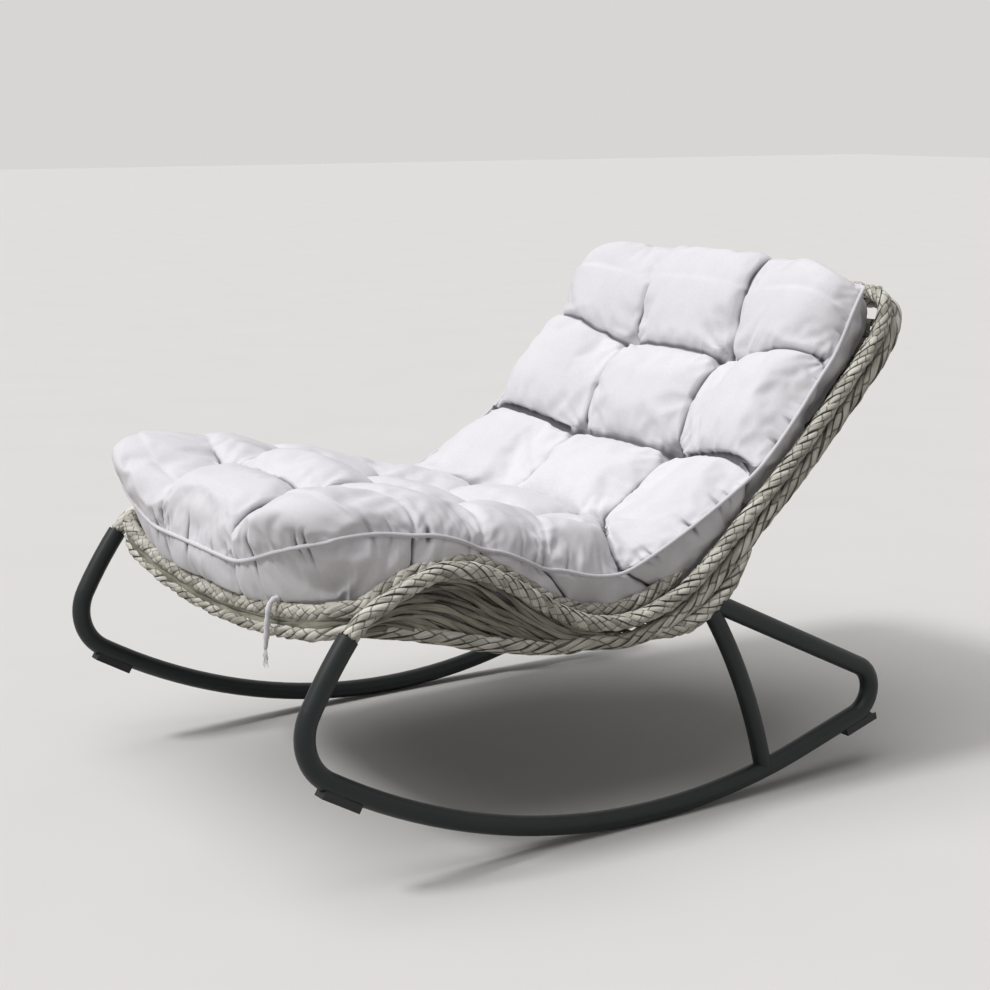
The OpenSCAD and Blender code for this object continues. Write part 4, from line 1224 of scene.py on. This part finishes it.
# %% Cushion: folds pushed out
fine = refine(cushion)
seen = {}
for key in ("pad_u", "pad_v", "pad_below"):
    seen[key] = np.zeros(len(fine.vertices), np.float32)
    fine.attributes[key].data.foreach_get("value", seen[key])
co, normal = np.zeros(len(fine.vertices) * 3), np.zeros(len(fine.vertices) * 3)
fine.vertices.foreach_get("co", co)
fine.vertex_normals.foreach_get("vector", normal)
push, crease_shade = folds_of(*[seen[key].astype(float) for key in ("pad_u", "pad_v", "pad_below")])
# This mask marks where the cloth gets painted shade, deep in the seams and pleats.
fine.attributes.new("crease_shade", "FLOAT", "POINT").data.foreach_set("value", crease_shade.astype(np.float32))
fine.vertices.foreach_set("co", co + np.repeat(push * MM, 3) * normal)
fine.update()
print("cushion folds up to", round(float(np.abs(push).max()), 1), "mm on", len(fine.polygons), "faces")

# %% [markdown]
# The cover is a plain-woven outdoor polyester in pale grey, matt with a faint sheen at grazing angles. Real
# threads are about 0.5 mm apart, too fine for this picture, so the weave is drawn at 1.6 mm. Slow mottling
# stands for the way such cloth catches light unevenly. Deep in the seams and pleats the cloth is darkened
# towards grey as painted shade.

# %% Cushion cloth
THREAD = 1.6 * MM


def woven_polyester(tree, colour, shade):
    place = object_place(tree)
    wave = {"Vector": place, "Scale": 1 / THREAD / 20, "Distortion": 0.4}
    warp, weft = [add(tree, "ShaderNodeTexWave", wave, wave_type="BANDS", bands_direction=way).outputs["Fac"]
                  for way in ("X", "DIAGONAL")]
    soft, slub = noise(tree, place, 22.0, 4.0), noise(tree, place, 260.0, 2.0)
    mottle = maths(tree, "MULTIPLY", maths(tree, "ADD", soft, slub), 0.5)
    # Painted shade: deep in the seams and pleats the cloth is blended towards #46454a.
    crease_shade = add(tree, "ShaderNodeAttribute", attribute_name="crease_shade").outputs["Fac"]
    deep = remap(tree, crease_shade, 0.0, 0.85, 0.12, 0.85, "SMOOTHSTEP")
    weave = bumped(tree, maths(tree, "MULTIPLY", warp, weft), 0.12, 0.4 * MM)
    tint = blend(tree, deep, ramp(tree, mottle, [(0.3, shade), (0.7, colour)]), linear("#46454a"))
    return {"Base Color": tint, "Roughness": 0.85, "Normal": bumped(tree, soft, 0.18, 4 * MM, Normal=weave),
            "Sheen Weight": 0.15, "Sheen Roughness": 0.5, "Specular IOR Level": 0.25}


cloth_finish = new_material("woven_polyester", woven_polyester, "#e2e0e4", "#d9d7db")
for piece in (cushion, tie, fray):
    finish_with(piece, cloth_finish)
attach(cushion, "cushion")
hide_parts("cushion")

# %% [markdown]
# Piping is a thin cord sewn into the seam between the top and the border. It runs once round the pad and
# stands a little proud of it.

# %% Piping
PIPING_R, PIPING_OUT, PIPING_SIDES, PIPING_SOFT = 3.2, 1.2, 8, 2
piping_line = round_ring(cushion_points[ring_ids[0]], PIPING_SOFT) + PIPING_OUT * ring_out
piping_parts = tube_parts(piping_line, np.full(RING, PIPING_R), PIPING_SIDES, closed=True)
piping = make_mesh("cushion_piping", *piping_parts)
finish_with(piping, new_material("woven_polyester_piping", woven_polyester, "#dad8dc", "#cfcdd1"))
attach(piping, "cushion")
print("piping", RING, "rings")

# %% [markdown]
# The floor is a plain pale grey sheet, and the world behind it shows the same grey to the camera and to
# glossy surfaces, while it lights the chair only as much as a bright room would. Two lamps shine from one
# side, in front of the chair and a little to its far side: a small one gives the shadows their edges,
# and a wide one, like a large window, higher up, gives the soft shade under the chair.

# %% Floor and world
FLOOR_SIZE = 60.0


def direct_rays(tree):
    """1 for what camera, gloss and glass see directly, 0 for the light that the surface gives to others."""
    rays = add(tree, "ShaderNodeLightPath").outputs
    seen = maths(tree, "ADD", rays["Is Camera Ray"], rays["Is Glossy Ray"])
    return maths(tree, "ADD", seen, rays["Is Transmission Ray"], use_clamp=True)


def grey_paint(tree):
    shown = ramp(tree, noise(tree, object_place(tree), 3.0, 3.0), [(0.3, "#d8d6d4"), (0.7, "#dad8d6")])
    return {"Base Color": blend(tree, direct_rays(tree), linear("#a8a6a3"), shown),
            "Roughness": 0.9,
            "Specular IOR Level": 0.1}


def studio_world(shown, strength):
    world = bpy.data.worlds.new("studio")
    bpy.context.scene.world = world
    world.use_nodes = True
    tree = world.node_tree
    tree.nodes.clear()
    light = add(tree, "ShaderNodeBackground", {"Color": (1, 1, 1, 1), "Strength": strength})
    picture = add(tree, "ShaderNodeBackground", {"Color": linear(shown), "Strength": 1.0})
    mix = add(tree, "ShaderNodeMixShader", {0: direct_rays(tree), 1: light.outputs["Background"],
                                            2: picture.outputs["Background"]})
    add(tree, "ShaderNodeOutputWorld", {"Surface": mix.outputs["Shader"]})


bpy.ops.object.select_all(action="DESELECT")
bpy.ops.mesh.primitive_plane_add(size=FLOOR_SIZE, location=(0, 0, 0))
floor = bpy.context.active_object
floor.name = "studio_floor"
finish_with(floor, new_material("matt_grey_paint", grey_paint))
studio_world("#d8d6d4", 0.21)

# %% Key light
KEY_AZIMUTH = 80.0
for name, power, angle, height in (("key", 1.35, 10.0, 50.0), ("soft_key", 1.8, 64.0, 68.0)):
    sun = bpy.data.lights.new(name, "SUN")
    sun.energy = power
    sun.angle = math.radians(angle)
    lamp = bpy.data.objects.new(name, sun)
    lamp.rotation_euler = (0, math.radians(90 - height), math.radians(KEY_AZIMUTH + 180))
    bpy.context.scene.collection.objects.link(lamp)
bpy.context.scene.view_settings.view_transform = "Standard"
